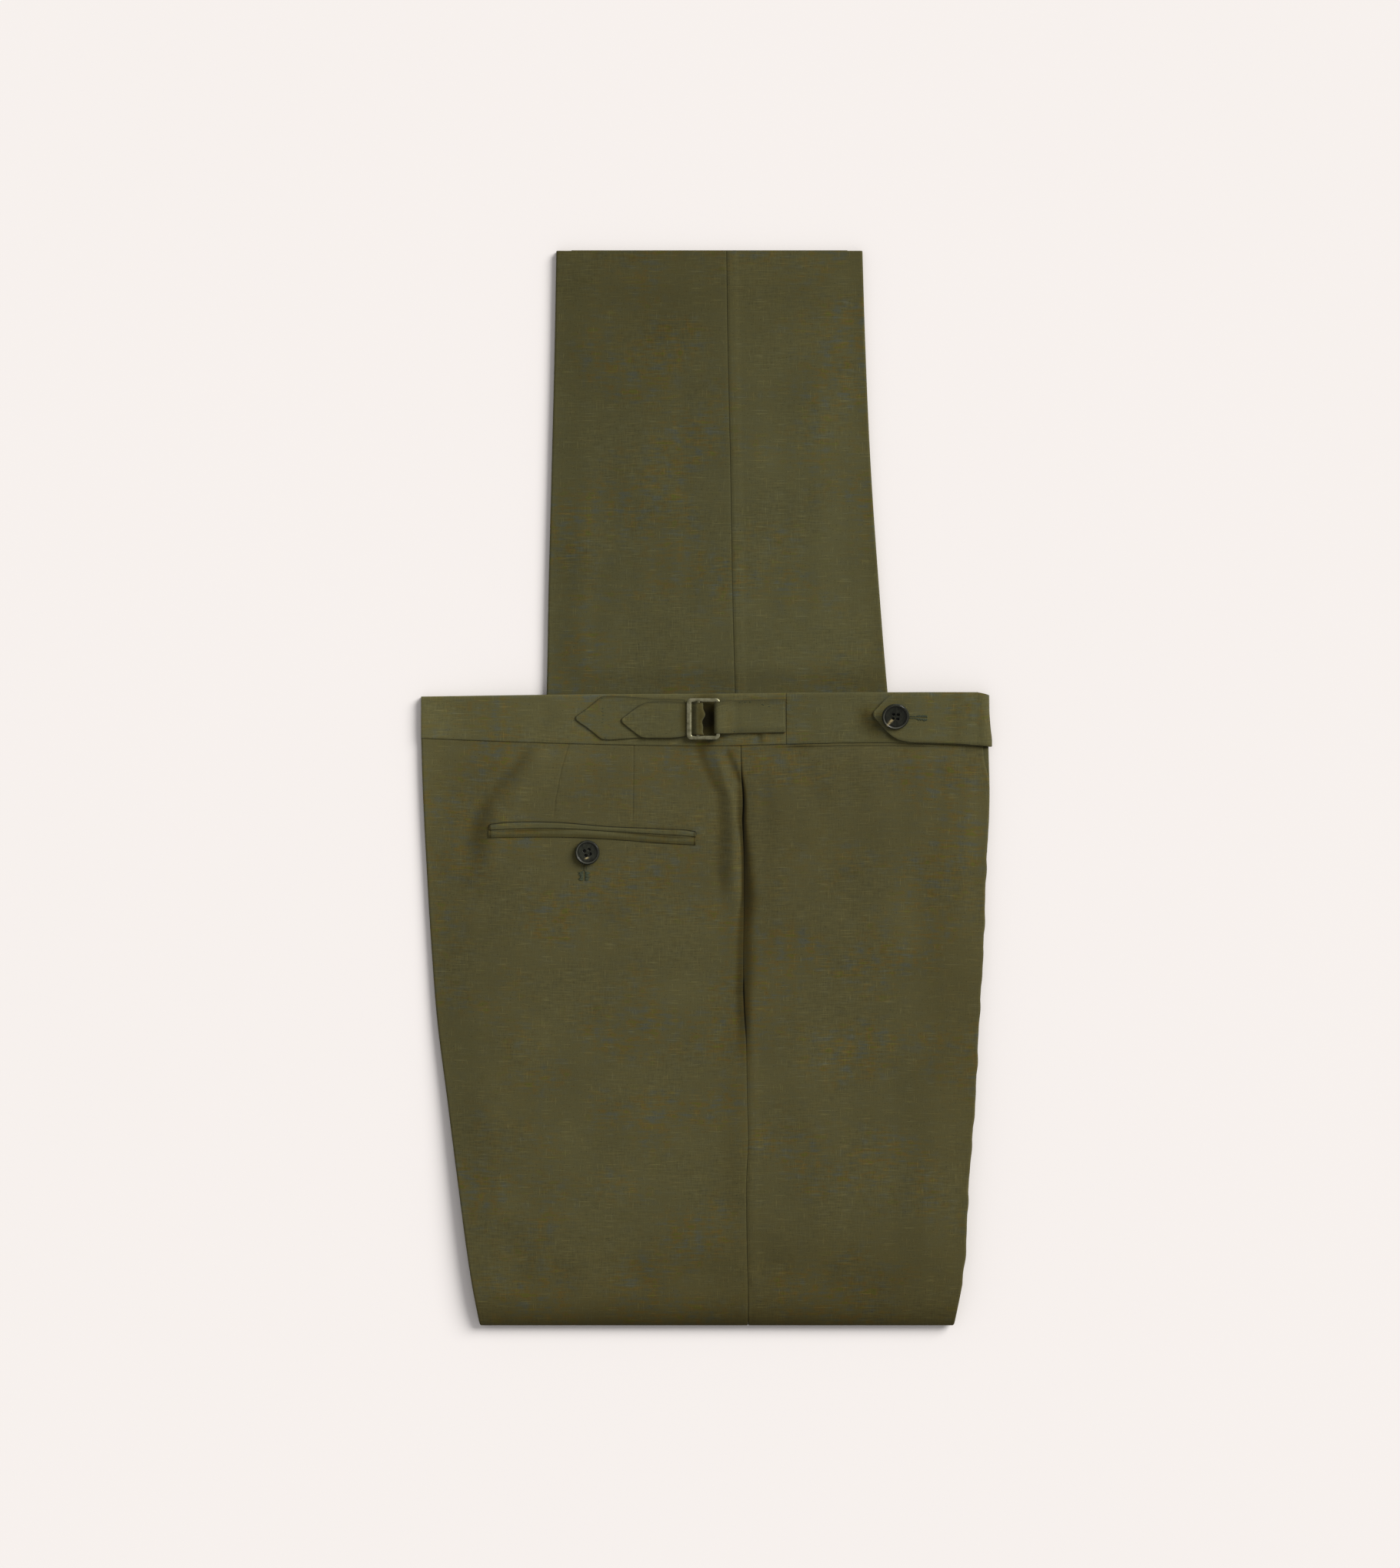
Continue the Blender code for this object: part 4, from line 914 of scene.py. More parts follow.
half_seam = 0.04
outside, beneath = (-BAND_PROUD, RIM), (STACK, STACK - RIM)
for name, node_name, ends, layer, step, colour in (
    ("back", "right_back", (-BAND_END, BAND_SEAM_X - half_seam), outside, 1.5, shade(1.14, 1.015)),
    ("front", "right_front", (BAND_SEAM_X + half_seam, BAND_FRONT), outside, 1.5, shade(1.04)),
    ("beneath", "left", (-BAND_END, EXTENSION_SEAM), beneath, 6.0, shade(1.0)),
):
    waistband("waistband_" + name, "waistband_" + node_name, *ends, *layer, step, colour)

# ---- Extension -----------------------------------------------------------------------------------------
# The left half's pointed extension, two layers of linen. It turns round the front edge from beneath and
# buttons on to the right half.
GAP = 0.3
EXTENSION = 2.0
EXTENSION_SHAPE = table(
    "x low high",
    (117.0, 50.6, 53.0),
    (118.0, 49.2, 54.2),
    (120.7, 46.2, 57.0),
    (125.3, 40.8, 62.0),
    (130.0, 36.4, 65.0),
    (135.0, 33.6, 66.3),
    (142.9, 32.1, 67.0),
    (158.8, 31.4, 67.2),
    (182.5, 30.4, 67.1),
    (192.0, 29.5, 67.0),
    (197.0, 29.1, 66.2),
    (202.0, 28.7, 64.4),
)


def band_top(x, y):
    """Height of the right waistband's face."""
    return bed(x, y) + STACK + BAND_PROUD


def even_outline(x, share):
    """How dark the painted shade along a strip's edges is, most along its upper edge."""
    return 0.42 + 0.5 * smooth(share)


def toned(tones):
    """A strip's lighter and darker soft spots, from its own table of them."""
    return lambda x, y, share: spots(x, y, tones)


def strap(
    name, node_name, path, shape, ground, step, colour, cut,
    blunt=1.0, lean=None, crown=0.15, faces=18, area=None, tone=toned(()), outline=even_outline,
):
    """A strip of doubled cloth that follows a path of (x, height over the ground, thickness) between
    the two edges of a shape. Its loop leans with the path, and crown lifts the middle of its face."""
    path = np.array(path, float)
    run = travelled(path[:, 0], path[:, 1])
    rows = {"run": run, "x": path[:, 0], "height": path[:, 1], "thick": path[:, 2]}
    ends = np.array([0.0, 0.12, 0.3, 0.6, 1.0, 1.35, 1.8])
    at = np.concatenate([ends, np.arange(1.8 + step, run[-1] - 1.8 - step / 2, step), run[-1] - ends[::-1]])
    x, height, thick = (through(rows, "run", column, at) for column in ("x", "height", "thick"))
    normal = np.stack([-np.gradient(height, at), np.gradient(x, at)])
    normal = (normal / np.hypot(*normal))[:, :, None]
    near, share, rise = rounded_loop(faces, 6, 0.45)
    x, height, thick = x[:, None], height[:, None], thick[:, None]
    low, high = through(shape, "x", "low", x), through(shape, "x", "high", x)
    y = low + near + share * (high - low)
    half = rise * thick / 2 * np.minimum(blunted(at, blunt), blunted(run[-1] - at, 0.6))[:, None]
    half = half + crown * np.sin(np.pi * share) * (rise > 0.5)
    slide = lean(x, y) if lean else 0.0
    grid = np.stack([x + slide + normal[0] * half, y, ground(x, y) + height + normal[1] * half], axis=-1)
    from_end = np.minimum(at, run[-1] - at)[:, None]
    inside = np.minimum(np.minimum(y - low, high - y), from_end)
    # A pale line just inside each edge is a painted highlight, as if the rounded edge caught the light.
    worn = 1.5 * bell(inside - 1.15, 0.45)
    # The dark line along each edge is painted shade.
    stitched = outline(x, share) * bell(inside, 0.6)
    uv = wrapped(x[0] * 0 + at[:, None] + path[0, 0], grid[..., 1], grid[..., 2])
    marks = {"worn": worn, "stitched": stitched, "tone": tone(x, y, share)}
    piece = surface(name, grid, uv=uv, around=True, capped=True, **marks)
    piece.data.materials.append(linen(name + "_linen", colour))
    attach(piece, "root")
    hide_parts(node_name)


def front_lean(x, y):
    """The front edge of the extension slopes back towards its top, and flares at its low corner."""
    return (0.7 * smooth((42.0 - y) / 10.0) - 1.3 * smooth((y - 34.0) / 22.0)) * smooth((x - 190.0) / 6.0)


over, under_band = GAP + EXTENSION / 2, -(STACK + BAND_PROUD) + RIM / 2
extension_path = [(x, over, EXTENSION) for x in (117.0, 122.0, 130.0, 142.9, 154.0, 168.0, 180.0, 190.0)]
extension_path += [(196.0, over - 0.25, EXTENSION), (198.4, over - 1.7, EXTENSION)]
extension_path += [(199.3, over - 3.4, EXTENSION), (198.9, over - 5.0, EXTENSION)]
extension_path += [(197.2, under_band + 0.5, EXTENSION), (194.0, under_band, RIM), (185.3, under_band, RIM)]
EXTENSION_TONES = ((-0.12, 176, 50, 5, 30), (-0.1, 196, 50, 5, 30))
strap(
    "extension",
    "extension_tab",
    extension_path,
    EXTENSION_SHAPE,
    band_top,
    1.0,
    shade(1.1),
    (0.0365, 0.0975),
    blunt=1.2,
    lean=front_lean,
    tone=toned(EXTENSION_TONES),
    # Painted shade along the extension's lower edge, faint at its tip and along its top.
    outline=lambda x, share: 0.1 + 0.5 * smooth((x - 124.0) / 14.0) * smooth(1.0 - share),
)

# ---- Side adjuster -------------------------------------------------------------------------------------
# A wide pointed tab is sewn to the band. The pointed strap on it hooks round the buckle's centre bar,
# and the buckle hangs from a short strap that is caught in the band's seam.
ADJUSTER_TAB = table(
    "x low high",
    (-91.8, 48.4, 49.8),
    (-91.0, 47.6, 50.5),
    (-84.0, 42.5, 55.6),
    (-78.0, 37.9, 60.4),
    (-74.6, 35.1, 63.2),
    (-72.8, 34.1, 64.2),
    (-70.0, 33.8, 64.4),
    (-58.0, 34.3, 64.2),
    (-40.0, 35.6, 62.9),
    (-22.0, 35.6, 62.2),
    (-15.0, 35.6, 62.0),
)
ADJUSTER_STRAP = table(
    "x low high",
    (-59.6, 46.6, 48.2),
    (-58.8, 45.8, 49.0),
    (-55.4, 42.9, 51.6),
    (-50.4, 39.0, 55.5),
    (-46.0, 35.9, 58.4),
    (-43.0, 35.1, 59.6),
    (-37.3, 35.0, 60.4),
    (-16.5, 35.9, 60.1),
    (-11.5, 37.0, 59.9),
    (0.0, 37.0, 59.9),
)
BUCKLE_STRAP = table(
    "x low high", (4.9, 38.2, 60.0), (10.3, 38.1, 60.8), (30.0, 38.4, 61.6), (55.9, 38.9, 62.3)
)
# Painted shadow on the pointed strap: a soft band left of the buckle, and a darker one where it turns round
# the centre bar.
STRAP_TONES = ((-0.35, -15.5, 48, 2.6, 16), (-0.5, -4.2, 48, 1.6, 16))
# On the buckle strap: painted shade in a fold beside the buckle, and two short dark lines near its upper
# edge.
BUCKLE_STRAP_TONES = ((-0.17, 16.4, 48, 2.8, 14), (-0.14, 40, 56, 4, 0.7), (-0.12, 26, 59, 6, 0.7))
BUCKLE_THICK, STRAP_THICK = 1.4, 1.0
BUCKLE_BACK, BUCKLE_FRONT, BUCKLE_LOW, BUCKLE_HIGH = -13.7, 9.8, 33.9, 63.0
CENTRE_BAR_X, CENTRE_BAR, BUCKLE_BAR, BUCKLE_WIDE_BAR = -5.6, 2.6, 2.7, 3.5
tab_height = GAP + STRAP_THICK / 2
strap_height = tab_height + STRAP_THICK + GAP
bar_low = strap_height + STRAP_THICK / 2 + GAP
strap_over = bar_low + BUCKLE_THICK + GAP + STRAP_THICK / 2
hook_x = CENTRE_BAR_X + CENTRE_BAR / 2 + 4 * GAP + STRAP_THICK / 2
bar_turn = BUCKLE_FRONT - BUCKLE_BAR - GAP - STRAP_THICK / 2


def wavy(x, y):
    """The strap's turned end is rumpled where it comes round the centre bar."""
    return (0.8 * np.sin(y / 2.7 + 1.0) + 0.5 * np.sin(y / 1.3)) * smooth((x + 5.4) / 2.0)


tab_path = [(x, tab_height) for x in (-91.6, -84.0, -76.0, -64.0, -50.0, -32.0, -15.0)]
hook_path = [(x, strap_height) for x in (-59.4, -50.4, -40.0, -30.0, -20.0, -13.5, -10.6)]
hook_path += [(-8.8, strap_height + 0.5), (-7.8, strap_height + 1.8), (-6.9, strap_over + 0.1)]
hook_path += [(hook_x - 1.0, strap_over + 0.1), (hook_x, strap_over - 0.9), (hook_x, strap_height + 0.7)]
hook_path += [(hook_x - 1.0, strap_height - 0.2), (hook_x - 3.2, strap_height - 0.3)]
turn_path = [(14.5, strap_over - 1.0), (11.0, strap_over + 0.1), (bar_turn + 1.0, strap_over + 0.1)]
turn_path += [(bar_turn, strap_over - 0.9), (bar_turn, strap_height + 0.7)]
turn_path += [(bar_turn + 1.0, strap_height - 0.2), (11.0, strap_height - 0.3), (13.0, strap_height - 0.4)]
sewn_path = [(x, GAP + 0.95, 1.9) for x in (BAND_SEAM_X - 0.2, 42.0, 26.0)] + [(19.0, GAP + 1.3, 1.5)]
tab_path, hook_path, turn_path = (
    [(x, height, STRAP_THICK) for x, height in path] for path in (tab_path, hook_path, turn_path)
)
for name, path, shape, step, colour, cut, looks in (
    ("adjuster_tab", tab_path, ADJUSTER_TAB, 0.9, shade(1.07), (0.0285, 0.076), {}),
    (
        "adjuster_strap",
        hook_path,
        ADJUSTER_STRAP,
        0.6,
        shade(1.04),
        (0.024, 0.067),
        {"lean": wavy, "tone": toned(STRAP_TONES)},
    ),
    (
        "buckle_strap",
        sewn_path + turn_path,
        BUCKLE_STRAP,
        0.6,
        shade(1.1),
        (0.0235, 0.067),
        {"tone": toned(BUCKLE_STRAP_TONES)},
    ),
):
    strap(name + "_cloth", name, path, shape, band_top, step, colour, cut, **looks)

# ---- Buckle --------------------------------------------------------------------------------------------
# A cast slide in nickel-plated brass, worn pale on its rounded edges: an open frame with a wide back
# bar and a thinner bar across its window.


def rounded_rectangle(x0, y0, x1, y1, corner):
    """Points round a rectangle with arcs for corners, eight to an arc and six along each side."""
    points = []
    centres = ((x1 - corner, y0 + corner, -90.0), (x1 - corner, y1 - corner, 0.0))
    centres += ((x0 + corner, y1 - corner, 90.0), (x0 + corner, y0 + corner, 180.0))
    arcs = []
    for cx, cy, first_angle in centres:
        angle = np.radians(first_angle + np.linspace(0.0, 90.0, 9))
        arcs.append(np.array([cx, cy]) + corner * np.stack([np.cos(angle), np.sin(angle)], axis=-1))
    for arc, following in zip(arcs, arcs[1:] + arcs[:1]):
        side = arc[-1] + (following[0] - arc[-1]) * np.linspace(0.0, 1.0, 9)[1:-1, None]
        points += [arc, side]
    return np.concatenate(points)


def nickel():
    """Pale nickel rubbed with use, with fine pits, darker and rougher where it is tarnished."""
    made, tree, shader = new_material("worn_nickel")
    place = node(tree, "TexCoord").outputs["Object"]
    cloud = node(tree, "TexNoise", None, {"Vector": place, "Scale": 260.0, "Detail": 3.0}).outputs["Fac"]
    pits = node(tree, "TexNoise", None, {"Vector": place, "Scale": 1500.0, "Detail": 2.0}).outputs["Fac"]
    body = colour_ramp(tree, cloud, (0.34, (0.15, 0.143, 0.082)), (0.62, (0.34, 0.325, 0.205)))
    finish = {
        "Base Color": body,
        "Roughness": node(tree, "MapRange", None, {0: cloud, 1: 0.3, 2: 0.7, 3: 0.52, 4: 0.32}).outputs[0],
        "Normal": bump(tree, pits, 0.2, 0.1),
        "Metallic": 1.0,
    }
    feed(tree, shader, finish)
    return made


def cast_ring(outer, inner, low, high):
    """A closed ring between two outlines, its section a soft rectangle |cos|^0.6 by |sin|^0.6."""
    angle = np.radians(np.arange(0.0, 360.0, 22.5))
    across, up = (np.sign(f(angle)) * np.abs(f(angle)) ** 0.6 for f in (np.cos, np.sin))
    middle, half = (outer + inner) / 2, (outer - inner) / 2
    flat = middle[:, None, :] + half[:, None, :] * across[None, :, None]
    height = np.broadcast_to((low + high) / 2 + (high - low) / 2 * up, flat.shape[:2])
    grid = np.concatenate([flat, height[..., None]], axis=-1)
    return np.concatenate([grid, grid[:1]])


buckle_ground = float(band_top(0.0, 48.0))
low, high = buckle_ground + bar_low, buckle_ground + bar_low + BUCKLE_THICK
window_back, window_front = BUCKLE_BACK + BUCKLE_WIDE_BAR, BUCKLE_FRONT - BUCKLE_BAR
window_low, window_high = BUCKLE_LOW + BUCKLE_BAR, BUCKLE_HIGH - BUCKLE_BAR
outer = rounded_rectangle(BUCKLE_BACK, BUCKLE_LOW, BUCKLE_FRONT, BUCKLE_HIGH, 3.2)
inner = rounded_rectangle(window_back, window_low, window_front, window_high, 0.9)
ring = cast_ring(outer, inner, low, high)
frame_piece = surface("buckle_frame", ring, around=True)
bar_y = np.linspace(BUCKLE_LOW + 1.6, BUCKLE_HIGH - 1.6, 24)
angle = np.radians(np.arange(0.0, 360.0, 22.5))
bar_half = CENTRE_BAR / 2
bar = np.stack(
    [
        np.broadcast_to(CENTRE_BAR_X + bar_half * np.cos(angle), (24, 16)),
        np.broadcast_to(bar_y[:, None], (24, 16)),
        np.broadcast_to((low + high) / 2 + 0.6 * np.sin(angle), (24, 16)),
    ],
    axis=-1,
)
bar_piece = surface("buckle_centre_bar", bar, around=True, capped=True)
worn_nickel = nickel()
for piece in (frame_piece, bar_piece):
    piece.data.materials.append(worn_nickel)
    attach(piece, "root")
    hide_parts("adjuster_buckle")

# ---- Back pocket ---------------------------------------------------------------------------------------
# Two narrow welts, each a folded strip of linen, set into the back panel with the pocket's slit between
# them. A line of stitches closes the slit at each end.
UPPER_WELT = table(
    "x low high",
    (-152.4, -29.3, -25.9),
    (-151.2, -29.4, -25.2),
    (-149.0, -29.3, -24.9),
    (-108.5, -28.3, -23.7),
    (-69.9, -30.2, -26.7),
    (-31.3, -32.6, -28.5),
    (-9.7, -34.1, -30.0),
    (-7.6, -34.4, -30.5),
    (-6.8, -34.5, -31.4),
)
LOWER_WELT = table(
    "x low high",
    (-152.8, -34.9, -29.7),
    (-149.0, -34.8, -29.9),
    (-130.0, -34.5, -29.4),
    (-108.5, -34.4, -28.8),
    (-93.0, -34.7, -28.9),
    (-66.4, -36.0, -30.5),
    (-48.0, -37.4, -31.9),
    (-30.0, -38.8, -33.6),
    (-15.0, -39.6, -34.4),
    (-7.2, -40.1, -34.6),
)


def hip_top(x, y):
    """Height of the right back panel's face, without its seam, darts and the ridge in the slit."""
    return bed(x, y) + STACK + hip_lift(x, y, "back")


POCKET_ENDS = (-151.4, -8.2)


def welt_ends(x, y, share):
    """A sewn line across each end of the pocket."""
    return -0.55 * sum(bell(x - end, 0.38) for end in POCKET_ENDS)


def welt_shade(x, y, share):
    """Painted shade on the lower welt: darker where it rolls under at its lower edge, and in two long lenses
    where the slit gapes over it.
    """
    roll = 0.34 * bell(share - 0.14, 0.28)
    lens = np.exp(-(((x + 122.0) / 26.0) ** 4)) + np.exp(-(((x + 36.0) / 24.0) ** 4))
    return welt_ends(x, y, share) - roll - 0.42 * lens * bell(share - 1.0, 0.3)


def upper_outline(x, share):
    """How dark the painted shade along the upper welt's edges is, most along its upper edge."""
    return 0.3 + 1.2 * smooth(share)


def lower_outline(x, share):
    """How dark the painted shade along the lower welt's edges is, more towards the front."""
    return 0.12 + 0.3 * smooth((x + 120.0) / 60.0)


upper_path = [(x, GAP + 0.4, 0.8) for x in np.linspace(-152.4, -6.8, 12)]
lower_path = [(x, GAP + 0.1, 0.5) for x in np.linspace(-152.8, -7.2, 12)]
for name, node_name, path, shape, crown, tone, outline in (
    ("upper_welt", "pocket_upper_jet", upper_path, UPPER_WELT, 0.25, welt_ends, upper_outline),
    ("lower_welt", "pocket_lower_jet", lower_path, LOWER_WELT, 0.2, welt_shade, lower_outline),
):
    looks = {"crown": crown, "faces": 9, "area": 0.0007, "tone": tone, "outline": outline}
    strap(name, node_name, path, shape, hip_top, 1.5, shade(1.0), (0.0105, 0.147), 0.5, **looks)

# ---- Buttons -------------------------------------------------------------------------------------------
# Turned four-hole buttons of dark horn with a raised rim round a dished face, one on the pocket and one
# on the extension, each held off the cloth by a short shank of thread.
BUTTON_SECTION = table(
    "run radius height",
    (0.0, 0.4, 0.0),
    (1.0, 5.2, 0.0),
    (2.0, 7.6, 0.55),
    (3.0, 8.55, 1.5),
    (4.0, 8.45, 2.4),
    (5.0, 7.95, 3.0),
    (6.0, 7.4, 2.85),
    (7.0, 6.9, 2.1),
    (8.0, 5.6, 1.9),
    (9.0, 2.6, 1.85),
    (10.0, 0.12, 1.8),
)


def horn(name):
    """Dark polished horn: grey and brown veins, and where the piece is marked a pale amber streak,
    black painted shade in its holes and groove, and a pale painted highlight on its rim."""
    made, tree, shader = new_material(name)
    place = node(tree, "TexCoord").outputs["Object"]
    grain = {0: place, 1: (520.0, 180.0, 300.0)}
    stretched = node(tree, "VectorMath", {"operation": "MULTIPLY"}, grain).outputs[0]
    clouds = {"Vector": stretched, "Scale": 1.0, "Detail": 4.0, "Distortion": 0.8}
    veins = node(tree, "TexNoise", None, clouds).outputs["Fac"]
    marks = [node(tree, "Attribute", {"attribute_name": mark}) for mark in ("streak", "hollow", "ring")]
    streak, hollow, ring = (mark.outputs["Fac"] for mark in marks)
    body = colour_ramp(tree, veins, (0.32, (0.01, 0.0108, 0.0068)), (0.7, (0.028, 0.0295, 0.0205)))
    amber = mix(tree, veins, (0.3, 0.2, 0.07, 1.0), (0.55, 0.5, 0.28, 1.0))
    body = mix(tree, streak, body, amber)
    # Painted shade: the holes and the groove go near black.
    body = mix(tree, hollow, body, (0.001, 0.001, 0.001, 1.0))
    # Painted highlight: the rim's marked top turns a paler grey.
    finish = {
        "Base Color": mix(tree, ring, body, (0.1, 0.1, 0.08, 1.0)),
        "Roughness": node(tree, "MapRange", None, {0: veins, 1: 0.3, 2: 0.7, 3: 0.3, 4: 0.42}).outputs[0],
        "Normal": bump(tree, veins, 0.12, 0.1),
        "Coat Weight": 0.22,
        "Coat Roughness": 0.06,
        "Specular IOR Level": 0.08,
    }
    feed(tree, shader, finish)
    return made


HOLE_FROM_MIDDLE, HOLE, HOLE_DEPTH = 2.3, 1.12, 1.5
RIM_RUN, GROOVE_RUN, FACE_RUN = 6.15, 7.25, 8.0  # places along the section


def button(name, node_name, centre, base, tilt, turned, streaks, size=1.0):
    """A lathe section of 96 steps with four holes sunk into its face: the height falls by the holes'
    depth times smooth((radius - d) / 0.3) at a distance d from a hole's middle. streaks are (x, y, half
    their length, angle). The rim's top is marked with a painted highlight, and the groove inside it and
    the holes with painted shade."""
    run = np.concatenate([np.linspace(0.0, 8.0, 49), np.linspace(8.0, 10.0, 40)[1:]])
    radius, height = (through(BUTTON_SECTION, "run", c, run)[:, None] for c in ("radius", "height"))
    angle = np.radians(np.arange(0.0, 360.0, 3.75))[None, :]
    x, y, z = size * radius * np.cos(angle), size * radius * np.sin(angle), height + 0 * angle
    on_face = run[:, None] > FACE_RUN
    # Painted shade in the groove inside the rim, and black in the holes.
    hollow = 0.6 * bell(run[:, None] - GROOVE_RUN, 0.45) + 0 * x
    for k in range(4):
        hole = math.radians(turned + 90.0 * k)
        d = np.hypot(x - HOLE_FROM_MIDDLE * math.cos(hole), y - HOLE_FROM_MIDDLE * math.sin(hole))
        z = z - HOLE_DEPTH * smooth((HOLE - d) / 0.3) * on_face
        hollow = np.maximum(hollow, smooth((1.2 - d) / 0.3) * on_face)
    # Painted highlight along the rim's top.
    ring = bell(run[:, None] - RIM_RUN, 0.4) + 0 * x
    streak = np.zeros(x.shape)
    for sx, sy, reach, lie in streaks:
        c, s = math.cos(math.radians(lie)), math.sin(math.radians(lie))
        along, off = (x - sx) * c + (y - sy) * s, (y - sy) * c - (x - sx) * s
        streak = np.maximum(streak, bell(along, reach) * bell(off, 0.45 * reach) * (run[:, None] > 4.0))
    lean = math.radians(tilt)
    leaning = z * math.cos(lean) + y * math.sin(lean)
    rest = leaning.min()
    tilted_y = y * math.cos(lean) - z * math.sin(lean)
    grid = np.stack([x + centre[0], tilted_y + centre[1], leaning - rest + base], axis=-1)
    piece = surface(name, grid, around=True, capped=True, streak=streak, hollow=hollow, ring=ring)
    piece.data.materials.append(horn(name + "_horn"))
    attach(piece, "root")
    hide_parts(node_name)


POCKET_BUTTON, TAB_BUTTON = (-83.2, -45.2), (132.6, 50.6)
pocket_base = float(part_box("pocket_button")[0].z) / MM
tab_base = float(band_top(*TAB_BUTTON)) + EXTENSION + 1.5 * GAP
pocket_streaks = [(-0.4, -3.9, 1.1, 20.0)]
tab_streaks = [(-3.0, -3.2, 1.8, 45.0), (-4.7, -5.3, 1.5, 40.0)]
button("pocket_button_horn", "pocket_button", POCKET_BUTTON, pocket_base, 0.0, 63.0, pocket_streaks)
button("waistband_button_horn", "waistband_button", TAB_BUTTON, tab_base, 23.0, 40.0, tab_streaks, 1.12)


def thread_material(name, colour):
    """Twisted sewing thread, mottled dark and pale as its strands turn."""
    made, tree, shader = new_material(name)
    place = node(tree, "TexCoord").outputs["Object"]
    twist = node(tree, "TexNoise", None, {"Vector": place, "Scale": 1100.0, "Detail": 1.0}).outputs["Fac"]
    dark, pale = (*(0.35 * c for c in colour), 1.0), (*(1.9 * c for c in colour), 1.0)
    twisted = mix(tree, twist, dark, pale)
    feed(tree, shader, {"Base Color": twisted, "Normal": bump(tree, twist, 0.4, 0.1), "Roughness": 0.75})
    return made


shank_thread = thread_material("button_thread", (0.035, 0.036, 0.022))
pocket_foot = float(hip_top(*np.array(POCKET_BUTTON)[:, None])[0]) - 0.1
tab_foot = float(band_top(*TAB_BUTTON)) + EXTENSION + 0.2
for name, (cx, cy), foot, top in (
    ("pocket_button_shank", POCKET_BUTTON, pocket_foot, pocket_base + 0.9),
    ("waistband_button_shank", TAB_BUTTON, tab_foot, tab_base + 2.6),
):
    up = np.linspace(0.0, 1.0, 25)[:, None]
    angle = np.radians(np.arange(0.0, 360.0, 15.0))[None, :]
    wrap = 1.5 + 0.12 * np.sin(up * 40.0 + angle) + 0.5 * (2 * up - 1) ** 4
    rise = foot + (top - foot) * up + 0 * angle
    grid = np.stack([cx + wrap * np.cos(angle), cy + wrap * np.sin(angle), rise], axis=-1)
    shank = surface(name, grid, around=True, capped=True)
    shank.data.materials.append(shank_thread)
    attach(shank, "root")

# ---- Buttonholes and tacks -----------------------------------------------------------------------------
# Buttonholes worked by hand in dark green thread, and small tacks of the same thread, which hold the
# adjuster's tab and straps down and bar the pocket's buttonhole.
THREAD, TACK_THREAD = 0.42, 0.34


def stitches(name, starts, ends, thick, thread):
    """Short threads as one mesh. Each is a spindle of six sides and seven rings between two points,
    thick sin(pi t)^0.5 wide, and arched over the cloth by 0.35 of its thickness."""
    starts, ends = np.array(starts, float), np.array(ends, float)
    t = np.linspace(0.02, 0.98, 7)
    angle = np.radians(np.arange(0.0, 360.0, 60.0))
    along = ends - starts
    unit = along / np.linalg.norm(along, axis=1)[:, None]
    aside = np.cross(unit, (0.0, 0.0, 1.0))
    aside /= np.linalg.norm(aside, axis=1)[:, None]
    up = np.cross(aside, unit)
    width = thick * np.sin(np.pi * t) ** 0.5
    middle = starts[:, None, :] + along[:, None, :] * t[None, :, None]
    middle[..., 2] += 0.35 * thick * np.sin(np.pi * t)
    around = np.cos(angle)[:, None] * aside[:, None, :] + np.sin(angle)[:, None] * up[:, None, :]
    points = middle[:, :, None, :] + width[None, :, None, None] / 2 * around[:, None, :, :]
    ring = np.arange(42).reshape(7, 6)
    following = np.roll(ring, -1, 1)
    quads = np.stack([ring[:-1], following[:-1], following[1:], ring[1:]], axis=-1).reshape(-1, 4)
    shift = (np.arange(len(starts)) * 42)[:, None]
    faces = (quads[None] + shift[:, :, None]).reshape(-1, 4).tolist()
    faces += (ring[0, ::-1][None] + shift).tolist() + (ring[-1][None] + shift).tolist()
    mesh = bpy.data.meshes.new(name)
    mesh.from_pydata((points.reshape(-1, 3) * MM).tolist(), [], faces)
    mesh.shade_smooth()
    mesh.materials.append(thread)
    piece = bpy.data.objects.new(name, mesh)
    scene.collection.objects.link(piece)
    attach(piece, "root")


def worked_hole(name, line, ground, reach, pitch, thread):
    """A buttonhole's stitches, side by side and of uneven length, out from both edges of its slit."""
    (x0, y0), (x1, y1) = line
    length = math.hypot(x1 - x0, y1 - y0)
    ux, uy = (x1 - x0) / length, (y1 - y0) / length
    along = np.arange(0.0, length, pitch)
    uneven = np.random.default_rng(7)
    starts, ends = [], []
    for side in (-1.0, 1.0):
        out = reach(along / length) * (1.0 + 0.25 * uneven.uniform(-1, 1, len(along)))
        slip = uneven.uniform(-0.12, 0.12, len(along))
        for distance, foot in ((0.25, starts), (out, ends)):
            px = x0 + ux * (along + slip) - uy * side * distance
            py = y0 + uy * (along + slip) + ux * side * distance
            foot.append(np.stack([px, py, ground(px, py) + 0.12], axis=-1))
    stitches(name, np.concatenate(starts), np.concatenate(ends), THREAD, thread)


def extension_top(x, y):
    """Height of the extension's face."""
    return band_top(x, y) + GAP + EXTENSION + 0.12


def pocket_reach(t):
    """The pocket buttonhole's stitches are short at its eye, and then long."""
    return 0.5 + 3.2 * smooth((t - 0.42) / 0.12)


def tab_reach(t):
    """The waistband buttonhole's stitches lengthen away from the button."""
    return 0.9 + 1.3 * smooth((t - 0.3) / 0.4)


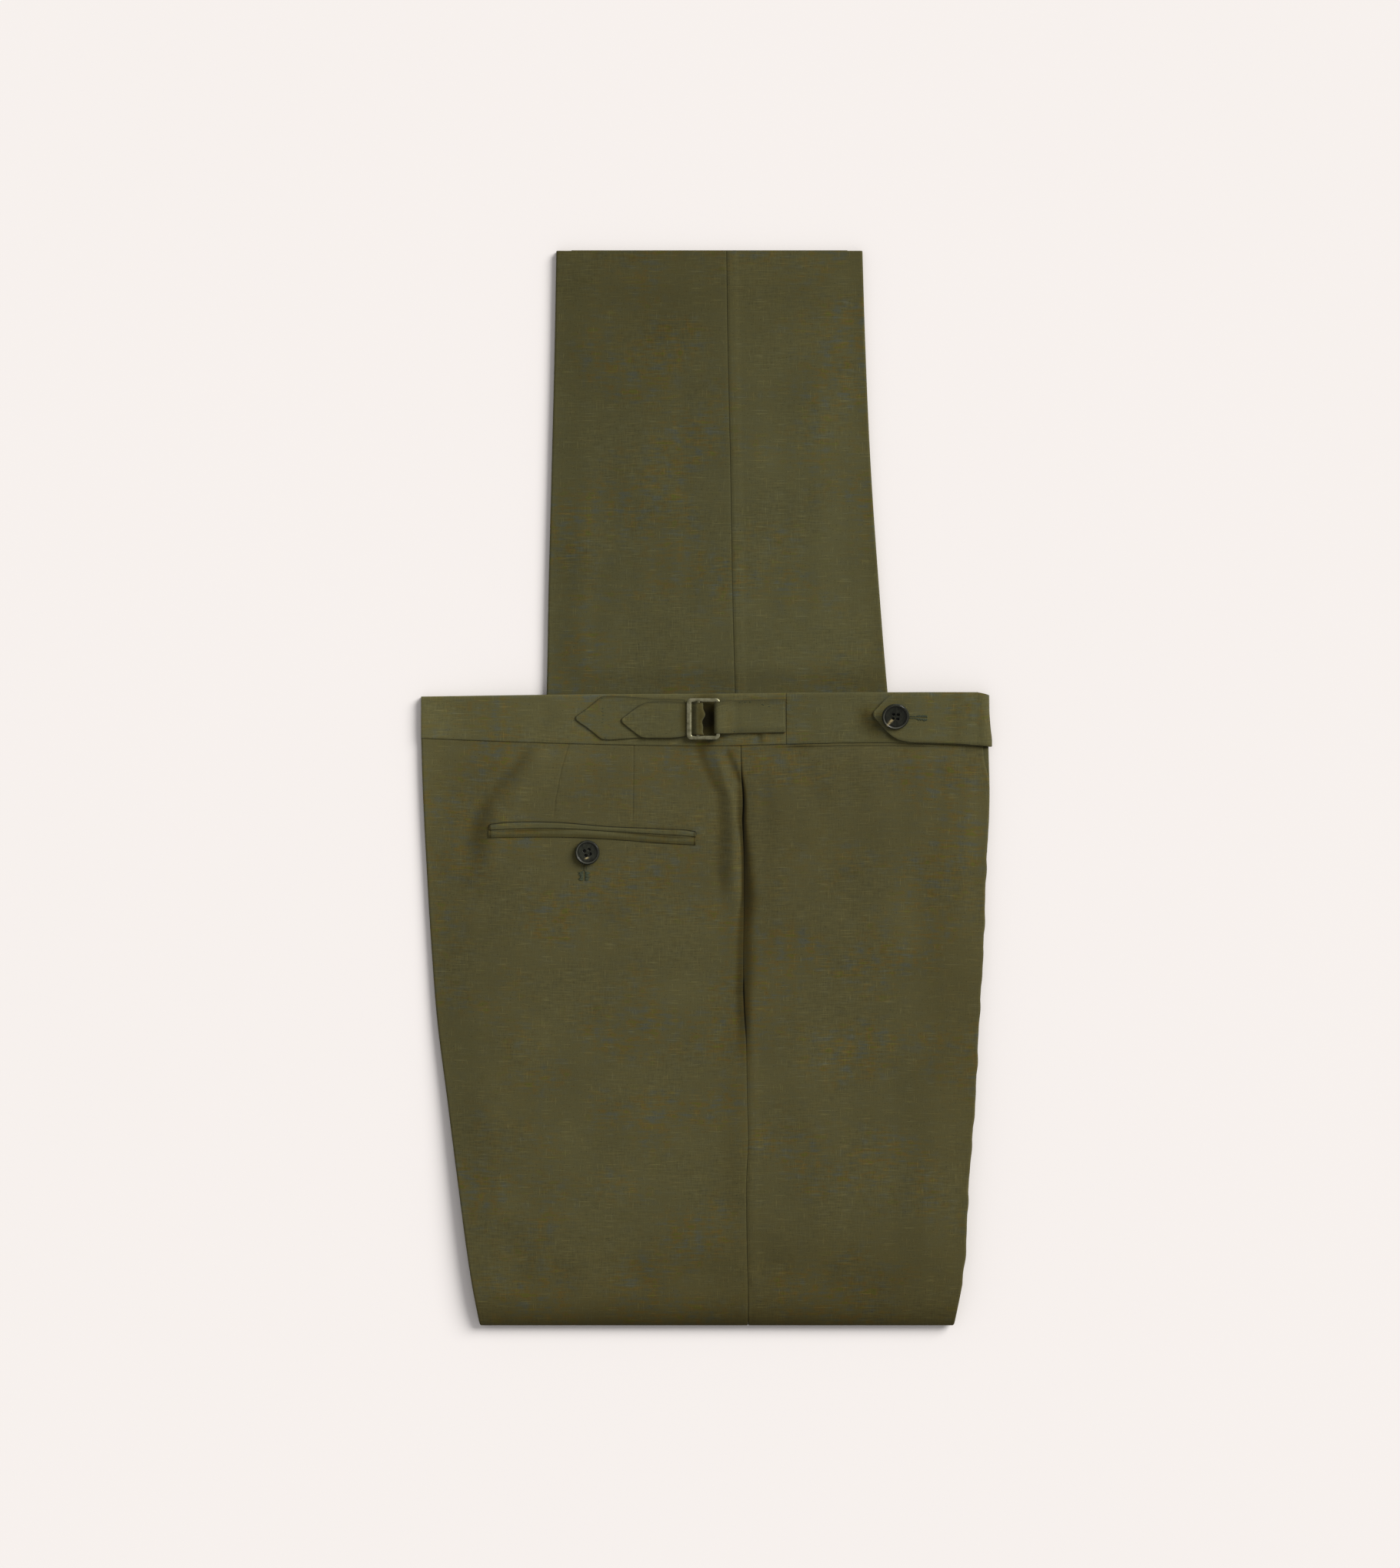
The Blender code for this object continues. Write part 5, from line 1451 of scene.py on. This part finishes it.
green_thread = thread_material("buttonhole_thread", (0.036, 0.047, 0.022))
pocket_slit, tab_slit = ((-85.4, -53.0), (-85.6, -64.6)), ((141.5, 49.6), (155.2, 49.0))
worked_hole("pocket_buttonhole", pocket_slit, hip_top, pocket_reach, 0.4, green_thread)
worked_hole("waistband_buttonhole", tab_slit, extension_top, tab_reach, 0.42, green_thread)


def tacks(name, marks, ground):
    """Single stitches given as (x, y, length, angle in degrees)."""
    x, y, length, lie = np.array(marks, float).T
    dx, dy = length / 2 * np.cos(np.radians(lie)), length / 2 * np.sin(np.radians(lie))
    starts = np.stack([x - dx, y - dy, ground(x - dx, y - dy)], axis=-1)
    ends = np.stack([x + dx, y + dy, ground(x + dx, y + dy)], axis=-1)
    stitches(name, starts, ends, TACK_THREAD, green_thread)


POCKET_TACKS = [
    (-87.1 + side * 3.3, -53.2 - 1.6 * k, 1.7, 86 + 8 * side) for side in (0, 1) for k in range(3)
]
TAB_TACKS = [
    (-72.4, 55.8, 2.4, 4),
    (-72.6, 53.6, 2.0, -6),
    (-72.0, 51.0, 2.2, 3),
    (-72.3, 48.4, 1.8, -4),
    (-72.6, 45.9, 2.1, 6),
    (-86.6, 53.3, 1.2, 40),
    (-84.8, 54.0, 1.1, 60),
    (-72.8, 63.1, 1.2, 20),
    (-70.6, 35.2, 1.2, -15),
]
STRAP_TACKS = [
    (13.2, 46.8, 1.3, 10),
    (13.0, 44.6, 1.2, -5),
    (24.0, 60.2, 1.6, 3),
    (27.5, 60.3, 1.5, -4),
    (31.0, 60.4, 1.6, 2),
    (40.0, 58.4, 2.2, -20),
    (44.4, 57.2, 2.2, 12),
    (14.5, 39.6, 1.6, 4),
    (20.0, 39.7, 1.4, -3),
]
tab_top = GAP + STRAP_THICK + 0.12
tacks("pocket_bar_tacks", POCKET_TACKS, lambda x, y: hip_top(x, y) + 0.1)
tacks("tab_tacks", TAB_TACKS, lambda x, y: band_top(x, y) + tab_top)
tacks("strap_tacks", STRAP_TACKS, lambda x, y: band_top(x, y) + GAP + 1.98)
